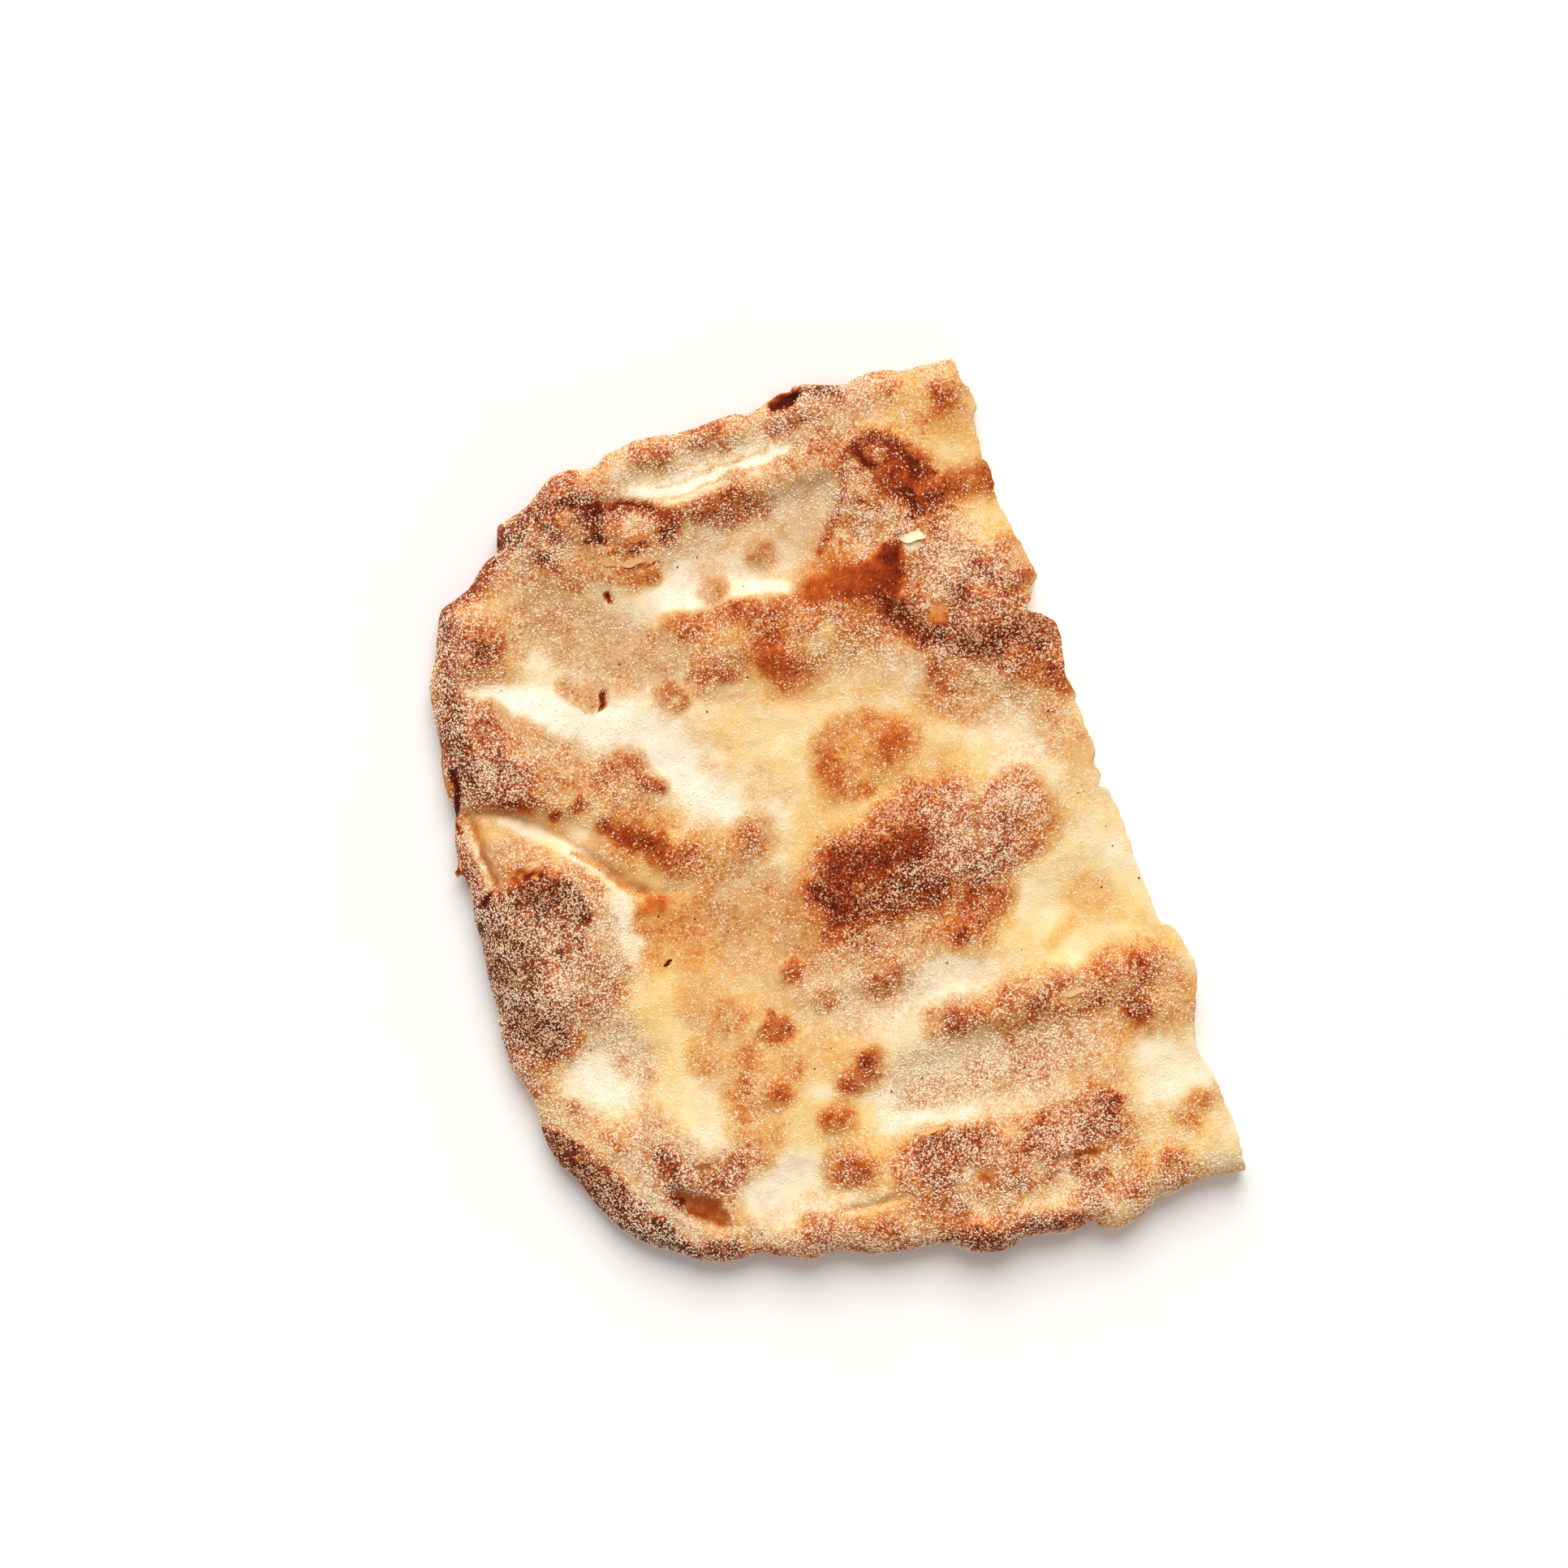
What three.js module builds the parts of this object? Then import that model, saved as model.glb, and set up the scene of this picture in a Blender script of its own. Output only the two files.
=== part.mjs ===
// The rounded end of a long pizza bianca, cut across with a knife and lying flat, floured side up.
// It is one piece of bread: a baked edge runs round three sides, and the fourth is the cut.
// Millimetres, +Z up, +X out of the cut, +Y along the cut. The origin is under the middle of the piece.

import * as THREE from "three";

// Driving sizes.
const BODY_THICKNESS = 12; // of the dough between its bubbles
const SEAM_HEIGHT = 4.6; // where the upper and lower crust meet round the baked edge
const ROLL_WIDTH = 7.5; // over which the upper crust rolls down to the seam
const ROLL_EXTRA_LEFT = 3; // the rounded end slopes off more slowly than the long sides
const UNDER_ROLL_WIDTH = 5.5; // over which the lower crust rolls up to the seam
const COLUMNS = 52; // cells from the rounded end to the cut
const ROWS = 72; // cells along the cut
const ROLL_CELLS = 4; // of them, those that follow the roll at each baked side
const UNDER_STEP = 2; // upper cells to one lower cell
const WALL_LEVELS = 6; // cells up the cut face
const PITCH_ACROSS = 150; // rough length of a row, which the roll cells are spaced by
const PITCH_ALONG = 200; // rough length of a column

// The baked edge seen from above, from the upper end of the cut round to its lower end.
const BAKED_EDGE = [
  [78.5, 104.5], [70, 105.5], [63, 107.3], [57, 108.4], [50, 108], [44, 110.4], [39.5, 111.2],
  [35, 110.7], [30, 109.4], [25.5, 108.9], [21, 110], [13, 110], [7, 110.4], [-2, 112],
  [-9.5, 111.2], [-14, 109.7], [-19.5, 110.8], [-24.5, 110.6], [-29.5, 107.6], [-36, 104.9],
  [-40.3, 103.9], [-41.8, 100], [-44, 97.5], [-51, 93], [-60.3, 89.3], [-62.5, 86.5],
  [-65.5, 79.5], [-69.7, 72.7], [-71.5, 63], [-73.7, 53.3], [-74.8, 45], [-75.5, 38],
  [-78.2, 28.5], [-77.8, 20], [-79.3, 9], [-80.7, -1], [-82.2, -11], [-82.9, -23], [-81, -31],
  [-81.1, -41], [-79.8, -49], [-75, -61.3], [-70, -71], [-66, -75.3], [-60, -79.7], [-50, -85.7],
  [-40.5, -86.8], [-34, -90.3], [-28.5, -92.4], [-22, -92.8], [-13, -96.9], [-4, -98.8], [3, -100],
  [9.5, -105], [17, -106.7], [22, -105.6], [32, -107.8], [39.5, -107.5], [43, -110.8], [48, -110.9],
  [54.5, -107.7], [60, -107.6], [68, -106.7], [78.7, -108.3],
];
// The cut seen from above, from its upper end to its lower end, with the steps that tearing left.
const CUT_EDGE = [
  [78.5, 104.5], [78.7, 97], [79.7, 95], [79.6, 90.6], [78.2, 88], [77.4, 79], [77.9, 72],
  [77.2, 69], [78.6, 58], [79.7, 47], [77, 43.5], [74.6, 40.8], [76, 38.4], [79.6, 36], [80.2, 30],
  [78.5, 21], [78.5, 8], [77.4, -2], [76.6, -7], [79, -12], [78.7, -37], [79, -43.3], [82, -46.3],
  [83.7, -54], [81.5, -63], [78.4, -70], [77.4, -76], [79, -86], [79.4, -98], [78.7, -108.3],
];
const UPPER_LEFT_SHARE = 0.318; // of the baked edge's length, to the bend at its upper left
const LOWER_LEFT_SHARE = 0.684; // and to the bend at its lower left

// Bubbles stand up from the dough, and hollows are dents in it. Each is an oval: its middle, its
// half sizes, its turn in degrees, how far it rises, and how sharp its edge is (1 soft, 3 crisp).
const BUBBLES = [
  { name: "long blister", at: [31, -7], half: [33, 13], turn: 5, rise: 3.0, edge: 1.8 },
  { name: "large edge bubble", at: [-62, 3], half: [20, 18], turn: 65, rise: 5.2, edge: 2.2 },
  { name: "foot of the edge bubble", at: [-72, -16], half: [12, 10], turn: 60, rise: 1.6, edge: 1.4 },
  { name: "crumpled blister", at: [63, 48], half: [17, 16], turn: -35, rise: 2.8, edge: 1.7 },
  { name: "crumple's tail", at: [70, 30], half: [12, 9], turn: -60, rise: 1.6, edge: 1.4 },
  { name: "left edge bump", at: [-60, 46], half: [17, 12], turn: -62, rise: 3.2, edge: 1.5 },
  { name: "upper left bump", at: [-55, 77], half: [11, 9], turn: 30, rise: 2.6, edge: 1.4 },
  { name: "corner ridge", at: [-27, 101], half: [17, 7], turn: 2, rise: 2.8, edge: 1.5 },
  { name: "ridge under the dent", at: [18, 91], half: [26, 4.2], turn: -2, rise: 1.7, edge: 1.3 },
  { name: "lip of the top edge", at: [8, 108.5], half: [26, 4], turn: 0, rise: 1.2, edge: 1.2 },
  { name: "toasted shoulder", at: [53, 78], half: [19, 9], turn: -58, rise: 1.9, edge: 1.4 },
  { name: "band below the hollow", at: [14, 56], half: [22, 9], turn: -10, rise: 1.7, edge: 1.7 },
  { name: "joint of the bands", at: [40, 59], half: [14, 9], turn: 15, rise: 1.6, edge: 1.5 },
  { name: "ring blister", at: [24, 20], half: [12.5, 8.5], turn: -2, rise: 1.1, edge: 1.6 },
  { name: "centre left patch", at: [-32, 29], half: [8, 11], turn: 18, rise: 1.5, edge: 1.5 },
  { name: "centre patch", at: [-18, 12], half: [13, 6.5], turn: -14, rise: 1.3, edge: 1.4 },
  { name: "lower right ridge", at: [46, -50], half: [32, 6], turn: -3, rise: 2.3, edge: 1.5 },
  { name: "right lobe", at: [72, -56], half: [11, 10], turn: -20, rise: 1.9, edge: 1.6 },
  { name: "bottom band", at: [27, -83], half: [30, 8], turn: -2, rise: 2.2, edge: 1.5 },
  { name: "bottom left bump", at: [-26, -87], half: [8, 5.5], turn: 0, rise: 1.6, edge: 1.5 },
  { name: "bottom knob", at: [13, -102], half: [9, 4.5], turn: -8, rise: 2.2, edge: 1.7 },
  { name: "second bottom knob", at: [30, -103], half: [9.5, 4.5], turn: -10, rise: 1.7, edge: 1.6 },
  { name: "bottom tab", at: [47, -105], half: [7, 5], turn: 0, rise: 1.1, edge: 1.6 },
  { name: "ring at the corner", at: [62, -102], half: [5, 5], turn: 0, rise: 1.2, edge: 1.8 },
  { name: "lower left puff", at: [-52, -55], half: [15, 10], turn: -35, rise: 1.8, edge: 1.3 },
  { name: "small patch left of centre", at: [-36, 1], half: [6, 4.5], turn: 0, rise: 0.8, edge: 1.3 },
  { name: "right top puff", at: [73, 95], half: [8, 8], turn: 0, rise: 1.0, edge: 1.2 },
];
const HOLLOWS = [
  { name: "trough by the top edge", at: [13, 100], half: [24, 5], turn: -1, rise: -3.0, edge: 1.7 },
  { name: "wide upper hollow", at: [16, 77], half: [28, 11], turn: 8, rise: -3.2, edge: 2.4 },
  { name: "left hollow", at: [-31, 68], half: [21, 14], turn: -38, rise: -2.9, edge: 1.6 },
  { name: "valley of the left edge", at: [-50, 64], half: [14, 4], turn: -24, rise: -1.3, edge: 1.2 },
  { name: "valley above the bubble", at: [-56, 30], half: [16, 4.5], turn: -28, rise: -2.8, edge: 1.3 },
  { name: "valley right of the bubble", at: [-36, 8], half: [10, 5], turn: -50, rise: -1.4, edge: 1.2 },
  { name: "oval dent", at: [-58, -31], half: [10.5, 10.5], turn: 0, rise: -3.0, edge: 1.9 },
  { name: "long lower hollow", at: [22, -64], half: [33, 9], turn: 4, rise: -3.2, edge: 1.8 },
  { name: "middle valley", at: [8, -40], half: [30, 6], turn: -3, rise: -1.2, edge: 1.3 },
  { name: "right flat", at: [63, -31], half: [17, 9], turn: 0, rise: -1.2, edge: 1.4 },
  { name: "middle flat", at: [-18, -12], half: [24, 14], turn: -20, rise: -0.9, edge: 1.2 },
  { name: "dip right of the ring", at: [56, 20], half: [15, 8], turn: -30, rise: -1.0, edge: 1.3 },
  { name: "pale dip at the bottom", at: [-24, -76], half: [14, 6.5], turn: -14, rise: -1.5, edge: 1.4 },
  { name: "groove near the bottom edge", at: [-9, -85], half: [10, 1.8], turn: -2, rise: -1.0, edge: 1.2 },
  { name: "torn bubble", at: [-49.5, -72.5], half: [7.6, 3.7], turn: -52, rise: -4.6, edge: 3.0 },
  { name: "dip by the right edge", at: [72, -78], half: [9, 7], turn: 0, rise: -1.2, edge: 1.3 },
  { name: "dip below the toasted shoulder", at: [73, 66], half: [6, 5], turn: 0, rise: -1.0, edge: 1.3 },
];
// Creases are lines along which one part of the dough was folded or pressed against the next.
const CREASES = [
  { name: "foot of the edge bubble", path: [[-69, 35], [-60, 31], [-51, 25], [-44, 16], [-39, 8]], depth: 1.3, half: 3 },
  { name: "corner fold", path: [[-24, 101], [-17, 97], [-11, 96], [-4, 93], [1, 91]], depth: 1.3, half: 2.5 },
  { name: "shoulder line", path: [[-78, -40], [-73, -48], [-67, -60], [-62, -70], [-55, -77], [-43, -80.5]], depth: 0.9, half: 2.5 },
  { name: "left edge fold", path: [[-71.5, 40], [-70.5, 30], [-71, 20]], depth: 1.2, half: 2.4 },
];
// Where the underside arched off the oven floor: middle, half sizes, turn and height.
const ARCHES = [
  { at: [-22, 58], half: [34, 18], turn: 20, height: 1.6 },
  { at: [34, -58], half: [32, 15], turn: -10, height: 1.4 },
  { at: [-40, -38], half: [24, 14], turn: 55, height: 1.3 },
  { at: [36, 44], half: [20, 30], turn: 0, height: 1.2 },
];
// Large holes of the crumb, spread along the cut by a rule.
const CRUMB_HOLES = 11;
const CRUMB_HOLE_HALF = [3.2, 6.2]; // smallest and largest half length along the cut
const CRUMB_HOLE_DEPTH = [1.8, 3.6];
// The crumpled blister is wrinkled besides.
const WRINKLE = { at: [64, 47], half: [19, 20], turn: -35, height: 0.9, wavelength: 9 };

const GOLDEN_ANGLE = 2.399963;

// An even, never repeating wobble from -1 to 1: five sine waves in turned directions.
function ripple(x, y, wavelength, seed) {
  let sum = 0;
  for (let i = 0; i < 5; i++) {
    const angle = seed + i * GOLDEN_ANGLE;
    const turns = (x * Math.cos(angle) + y * Math.sin(angle)) / (wavelength * (1 + 0.23 * i));
    sum += Math.sin(turns * 2 * Math.PI + seed * 3.1 + i * 1.3) / 5;
  }
  return sum;
}

// A number from 0 to 1 that depends only on n.
function chance(n) {
  const value = Math.sin(n * 12.9898) * 43758.5453;
  return value - Math.floor(value);
}

// Squared distance from an oval's middle, as a share of its half sizes.
function ovalDistance(oval, x, y) {
  const turn = THREE.MathUtils.degToRad(oval.turn);
  const dx = x - oval.at[0];
  const dy = y - oval.at[1];
  const along = (dx * Math.cos(turn) + dy * Math.sin(turn)) / oval.half[0];
  const across = (dy * Math.cos(turn) - dx * Math.sin(turn)) / oval.half[1];
  return along * along + across * across;
}

function distanceToPath(path, x, y) {
  let nearest = Infinity;
  for (let i = 0; i + 1 < path.length; i++) {
    const [ax, ay] = path[i];
    const ex = path[i + 1][0] - ax;
    const ey = path[i + 1][1] - ay;
    const share = ((x - ax) * ex + (y - ay) * ey) / (ex * ex + ey * ey);
    const t = Math.min(1, Math.max(0, share));
    nearest = Math.min(nearest, Math.hypot(x - ax - t * ex, y - ay - t * ey));
  }
  return nearest;
}

function evenPoints(points, count) {
  const curve = new THREE.SplineCurve(points.map(([x, y]) => new THREE.Vector2(x, y)));
  return curve.getSpacedPoints(count).map((p) => [p.x, p.y]);
}

const EDGE_SAMPLES = 600;
const bakedPoints = evenPoints(BAKED_EDGE, EDGE_SAMPLES);
const cutPoints = evenPoints(CUT_EDGE, EDGE_SAMPLES);

function pointAt(points, share) {
  const at = Math.min(1, Math.max(0, share)) * (points.length - 1);
  const i = Math.min(points.length - 2, Math.floor(at));
  const t = at - i;
  return [0, 1].map((k) => points[i][k] * (1 - t) + points[i + 1][k] * t);
}

// The four sides of the piece, each as a function of a share from 0 to 1.
const topSide = (u) => pointAt(bakedPoints, UPPER_LEFT_SHARE * (1 - u));
const leftSide = (v) =>
  pointAt(bakedPoints, LOWER_LEFT_SHARE + (UPPER_LEFT_SHARE - LOWER_LEFT_SHARE) * v);
const bottomSide = (u) => pointAt(bakedPoints, LOWER_LEFT_SHARE + (1 - LOWER_LEFT_SHARE) * u);
const cutSide = (v) => pointAt(cutPoints, 1 - v);

// A point of the plan, from 0 to 1 across (u) and along (v): a Coons patch between the four sides.
function planPoint(u, v) {
  const [low, high, left, right] = [bottomSide(u), topSide(u), leftSide(v), cutSide(v)];
  const corners = [bottomSide(0), bottomSide(1), topSide(0), topSide(1)];
  return [0, 1].map((k) => {
    const ruled = (1 - v) * low[k] + v * high[k] + (1 - u) * left[k] + u * right[k];
    const shared =
      (1 - v) * ((1 - u) * corners[0][k] + u * corners[1][k]) +
      v * ((1 - u) * corners[2][k] + u * corners[3][k]);
    return ruled - shared;
  });
}

// Shares from 0 to 1, close together where the crust rolls over: at the start, and at the end too
// where bothEnds is set.
function stations(cells, length, bothEnds) {
  const roll = [];
  for (let i = 0; i <= ROLL_CELLS; i++) {
    roll.push(((1 - Math.cos((i / ROLL_CELLS) * (Math.PI / 2))) * ROLL_WIDTH) / length);
  }
  const last = roll[ROLL_CELLS];
  const middle = cells - ROLL_CELLS * (bothEnds ? 2 : 1);
  const end = bothEnds ? 1 - last : 1;
  const shares = roll.slice(0, ROLL_CELLS);
  for (let i = 0; i <= middle; i++) shares.push(last + ((end - last) * i) / middle);
  if (bothEnds) for (let i = ROLL_CELLS - 1; i >= 0; i--) shares.push(1 - roll[i]);
  return shares;
}

const quarterRound = (share) => Math.sqrt(Math.max(0, 1 - (1 - Math.min(1, share)) ** 2));

const seamHeight = (x, y) => SEAM_HEIGHT + 0.9 * ripple(x, y, 34, 6);

// Height of the upper crust: the dough's thickness with its bubbles, hollows and creases, rolled
// down to the seam near the baked edge.
function upperHeight(x, y, toEdge) {
  const wx = x + 1.3 * ripple(x, y, 21, 1);
  const wy = y + 1.3 * ripple(x, y, 21, 2);
  let height = BODY_THICKNESS + 0.45 * ripple(x, y, 27, 3) + 0.25 * ripple(x, y, 12, 4);
  for (const oval of [...BUBBLES, ...HOLLOWS]) {
    height += oval.rise * Math.exp(-(ovalDistance(oval, wx, wy) ** oval.edge));
  }
  for (const crease of CREASES) {
    height -= crease.depth * Math.exp(-((distanceToPath(crease.path, wx, wy) / crease.half) ** 2));
  }
  const wrinkled = Math.exp(-(ovalDistance(WRINKLE, wx, wy) ** 2));
  height += WRINKLE.height * wrinkled * ripple(x, y, WRINKLE.wavelength, 7);
  const toLeft = THREE.MathUtils.smoothstep(-x, 20, 75);
  const seam = seamHeight(x, y);
  return seam + (height - seam) * quarterRound(toEdge / (ROLL_WIDTH + ROLL_EXTRA_LEFT * toLeft));
}

// Height of the lower crust: flat where it lay on the oven floor, arched here and there, and
// rolled up to the seam near the baked edge.
function lowerHeight(x, y, toEdge) {
  let height = 0;
  for (const arch of ARCHES) {
    height += arch.height * Math.max(0, 1 - ovalDistance(arch, x, y)) ** 2;
  }
  const seam = seamHeight(x, y);
  return seam + (height - seam) * quarterRound(toEdge / UNDER_ROLL_WIDTH);
}

// How far the crumb stands back from the cut, at a height given as a share of the thickness.
function crumbHollow(y, share) {
  let depth = 0;
  for (let i = 0; i < CRUMB_HOLES; i++) {
    const middle = -98 + (196 * (i + 0.5 + 0.5 * (chance(i) - 0.5))) / CRUMB_HOLES;
    const halfLength = CRUMB_HOLE_HALF[0] + (CRUMB_HOLE_HALF[1] - CRUMB_HOLE_HALF[0]) * chance(i + 20);
    const level = 0.36 + 0.3 * chance(i + 40);
    const q = ((y - middle) / halfLength) ** 2 + ((share - level) / 0.2) ** 2;
    const deepest = CRUMB_HOLE_DEPTH[0] + (CRUMB_HOLE_DEPTH[1] - CRUMB_HOLE_DEPTH[0]) * chance(i + 60);
    depth = Math.max(depth, deepest * Math.exp(-(q ** 1.6)));
  }
  return depth * Math.sin(Math.PI * share);
}

// The whole piece as one closed surface: the upper crust, the lower crust on a coarser grid, and
// the cut face between them.
function breadGeometry() {
  const positions = [];
  const faces = [];
  const addVertex = (x, y, z) => positions.push(x, y, z) / 3 - 1;
  const addTriangle = (a, b, c) => {
    if (a !== b && b !== c && c !== a) faces.push(a, b, c);
  };
  const us = stations(COLUMNS, PITCH_ACROSS, false);
  const vs = stations(ROWS, PITCH_ALONG, true);
  const onBakedEdge = (i, j) => i === 0 || j === 0 || j === ROWS;

  const plan = us.map((u) => vs.map((v) => planPoint(u, v)));
  const toEdge = plan.map((line, i) =>
    line.map(([x, y], j) => (onBakedEdge(i, j) ? 0 : distanceToPath(bakedPoints, x, y))),
  );
  const upper = plan.map((line, i) =>
    line.map(([x, y], j) => addVertex(x, y, upperHeight(x, y, toEdge[i][j]))),
  );
  const lower = plan.map((line, i) =>
    line.map(([x, y], j) => {
      if (onBakedEdge(i, j)) return upper[i][j];
      const used = i === COLUMNS || (i % UNDER_STEP === 0 && j % UNDER_STEP === 0);
      return used ? addVertex(x, y, lowerHeight(x, y, toEdge[i][j])) : -1;
    }),
  );

  // Each upper cell is split along the diagonal that is nearer to level, so that ridges stay even.
  const heightOf = (vertex) => positions[3 * vertex + 2];
  for (let i = 0; i < COLUMNS; i++) {
    for (let j = 0; j < ROWS; j++) {
      const [a, b, c, d] = [upper[i][j], upper[i + 1][j], upper[i + 1][j + 1], upper[i][j + 1]];
      if (Math.abs(heightOf(a) - heightOf(c)) < Math.abs(heightOf(b) - heightOf(d))) {
        addTriangle(a, b, c);
        addTriangle(a, c, d);
      } else {
        addTriangle(a, b, d);
        addTriangle(b, c, d);
      }
    }
  }

  // A lower cell is a polygon, with every upper vertex on the sides where the two crusts meet.
  for (let i = 0; i < COLUMNS; i += UNDER_STEP) {
    for (let j = 0; j < ROWS; j += UNDER_STEP) {
      const [i2, j2] = [i + UNDER_STEP, j + UNDER_STEP];
      const side = (i0, j0, i1, j1, fine) => {
        const steps = fine ? UNDER_STEP : 1;
        return Array.from({ length: steps }, (_, k) => {
          const [fi, fj] = [i0 + ((i1 - i0) * k) / steps, j0 + ((j1 - j0) * k) / steps];
          return lower[fi][fj];
        });
      };
      const sides = [
        side(i, j, i, j2, i === 0),
        side(i, j2, i2, j2, j2 === ROWS),
        side(i2, j2, i2, j, i2 === COLUMNS),
        side(i2, j, i, j, j === 0),
      ];
      const loop = sides.flat();
      const apex = lower[i === 0 ? i2 : i][j === 0 ? j2 : j];
      const start = loop.indexOf(apex);
      for (let k = 1; k + 1 < loop.length; k++) {
        const [b, c] = [loop[(start + k) % loop.length], loop[(start + k + 1) % loop.length]];
        addTriangle(apex, b, c);
      }
    }
  }

  const wall = [];
  for (let level = 0; level <= WALL_LEVELS; level++) {
    wall.push(
      vs.map((_, j) => {
        if (level === 0) return lower[COLUMNS][j];
        if (level === WALL_LEVELS || onBakedEdge(COLUMNS, j)) return upper[COLUMNS][j];
        const [x, y] = plan[COLUMNS][j];
        const share = level / WALL_LEVELS;
        const [zLow, zHigh] = [lower, upper].map((sheet) => heightOf(sheet[COLUMNS][j]));
        return addVertex(x - crumbHollow(y, share), y, zLow + (zHigh - zLow) * share);
      }),
    );
  }
  for (let level = 0; level < WALL_LEVELS; level++) {
    for (let j = 0; j < ROWS; j++) {
      const [below, above] = [wall[level], wall[level + 1]];
      addTriangle(below[j], below[j + 1], above[j + 1]);
      addTriangle(below[j], above[j + 1], above[j]);
    }
  }

  const geometry = new THREE.BufferGeometry();
  geometry.setAttribute("position", new THREE.Float32BufferAttribute(positions, 3));
  geometry.setIndex(faces);
  geometry.computeBoundingBox();
  const middle = geometry.boundingBox.getCenter(new THREE.Vector3());
  geometry.translate(-middle.x, -middle.y, 0);
  geometry.computeVertexNormals();
  return geometry;
}

const crust = new THREE.MeshStandardMaterial({ color: 0xdca467, roughness: 0.8, metalness: 0 });
const bread = new THREE.Mesh(breadGeometry(), crust);
bread.name = "pizza_bianca";

const piece = new THREE.Group();
piece.add(bread);

export default piece;
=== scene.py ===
"""A cut end piece of pizza bianca, lying flat with its floured side up."""

import math

import bpy
import numpy as np
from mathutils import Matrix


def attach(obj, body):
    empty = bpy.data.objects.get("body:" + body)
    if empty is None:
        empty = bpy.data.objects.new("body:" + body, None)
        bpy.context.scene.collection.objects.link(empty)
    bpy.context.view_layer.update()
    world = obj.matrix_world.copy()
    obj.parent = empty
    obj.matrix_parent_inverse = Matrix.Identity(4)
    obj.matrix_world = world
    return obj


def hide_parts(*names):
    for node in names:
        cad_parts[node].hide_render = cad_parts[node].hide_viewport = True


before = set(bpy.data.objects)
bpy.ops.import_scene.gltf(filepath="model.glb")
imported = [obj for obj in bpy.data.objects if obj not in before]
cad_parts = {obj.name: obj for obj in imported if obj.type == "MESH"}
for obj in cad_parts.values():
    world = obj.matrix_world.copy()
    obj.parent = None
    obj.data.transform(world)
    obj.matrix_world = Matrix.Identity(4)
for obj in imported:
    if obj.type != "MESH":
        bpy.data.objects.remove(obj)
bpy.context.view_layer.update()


# --- The bread ------------------------------------------------------------------------------------
# One piece of dough, stretched with the fingertips and baked on the oven floor. A baked edge runs
# round three sides and a knife cut the fourth. Its fine surface replaces the plain solid.

MM = 0.001
MIDDLE = (0.4, 0.5)  # mm: the middle of the piece in the coordinates that this section uses
BODY_THICKNESS = 12.0  # mm, of the dough between its bubbles
SEAM_HEIGHT = 4.6  # mm, where the upper and the lower crust meet round the baked edge
ROLL_WIDTH = 7.5  # mm, over which the upper crust rolls down to the seam
ROLL_EXTRA_LEFT = 3.0  # mm more of it at the rounded end
UNDER_ROLL_WIDTH = 5.5  # mm, over which the lower crust rolls up to the seam
COLUMNS, ROWS = 237, 315  # cells of the upper crust, 0.7 mm each
ROLL_CELLS = 15  # of them, those that follow the roll at each baked side
UNDER_STEP = 3  # upper cells to one lower cell
WALL_LEVELS = 24  # cells up the cut face, 0.5 mm each
ROW_LENGTH, COLUMN_LENGTH = 150, 200  # mm, about what a row and a column of cells measure
EDGE_POINTS = 1000  # even steps round the baked edge, and as many along the cut
SPLINE_STEPS = 12  # of the curve from one point of an outline to the next
SEAM_WOBBLE, SEAM_WOBBLE_LENGTH = 0.9, 34  # mm, how the seam rises and falls round the edge
PIT_HEIGHT, PIT_SIZE = 0.30, 9  # mm, of the shallow pits in the underside
GOLDEN_ANGLE = 2.399963  # radians

# The baked edge seen from above, from the upper end of the cut round to its lower end, in mm.
BAKED_EDGE = [
    (78.5, 104.5), (72.3, 105.3), (65.7, 105.9), (63, 107.3), (57.7, 108.3), (53.7, 107.9),
    (49.7, 108.1), (45.3, 109.7), (43, 110.7), (39.7, 111.3), (38.3, 110.3), (35.7, 110.7),
    (31.7, 109.7), (26.3, 108.8), (23.3, 110), (13.7, 110), (8.3, 110.3), (4.3, 111.3),
    (-1.7, 112.1), (-5.7, 111.5), (-9.7, 111.2), (-12.7, 109.5), (-16, 109.7), (-19.3, 110.8),
    (-23.3, 110.8), (-26, 109.7), (-29.3, 107.7), (-32, 106), (-36.7, 104.7), (-40.3, 103.9),
    (-41.5, 101.7), (-41.9, 99.3), (-43.3, 97.7), (-47.3, 96), (-52, 92.1), (-56.7, 90.3),
    (-60.3, 89.3), (-62, 87.3), (-64.3, 82.7), (-65.7, 79.3), (-69.7, 72.7), (-71, 66.7),
    (-72.5, 56.7), (-73.7, 53.3), (-74.8, 47), (-74.5, 41), (-75.3, 38.7), (-77, 34.3),
    (-78, 29.3), (-79, 27), (-77.7, 24.7), (-77.8, 19.3), (-79, 14.7), (-79.3, 8.7), (-80.3, 2.7),
    (-81, -3.3), (-81.3, -10), (-82.3, -12), (-82.9, -23.3), (-82, -25.7), (-80.7, -32),
    (-80.7, -36), (-81.1, -41.3), (-80.7, -45.3), (-79.9, -49.3), (-77.3, -54), (-75, -61.3),
    (-72.7, -66.7), (-70, -71), (-66, -75.3), (-60, -79.7), (-55.3, -83.3), (-50, -85.7),
    (-44.7, -86.5), (-40.3, -86.7), (-37.3, -88.7), (-34, -90.3), (-30, -92.3), (-26, -92.5),
    (-22.7, -92.7), (-19.3, -94), (-14.7, -96.5), (-10, -97.7), (-5, -98.7), (3, -100),
    (6.3, -102.7), (9.7, -105), (13.7, -106.3), (17.7, -106.7), (20.3, -105.7), (23.7, -105.7),
    (27.7, -106.7), (33, -107.9), (38.3, -107.3), (39.7, -107.7), (41, -110), (43.7, -111),
    (46.3, -111), (51, -110), (53.7, -108.7), (55.7, -107.2), (59, -107.7), (65, -106.8),
    (71, -107), (75.7, -108.1), (78.7, -108.3),
]
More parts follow.
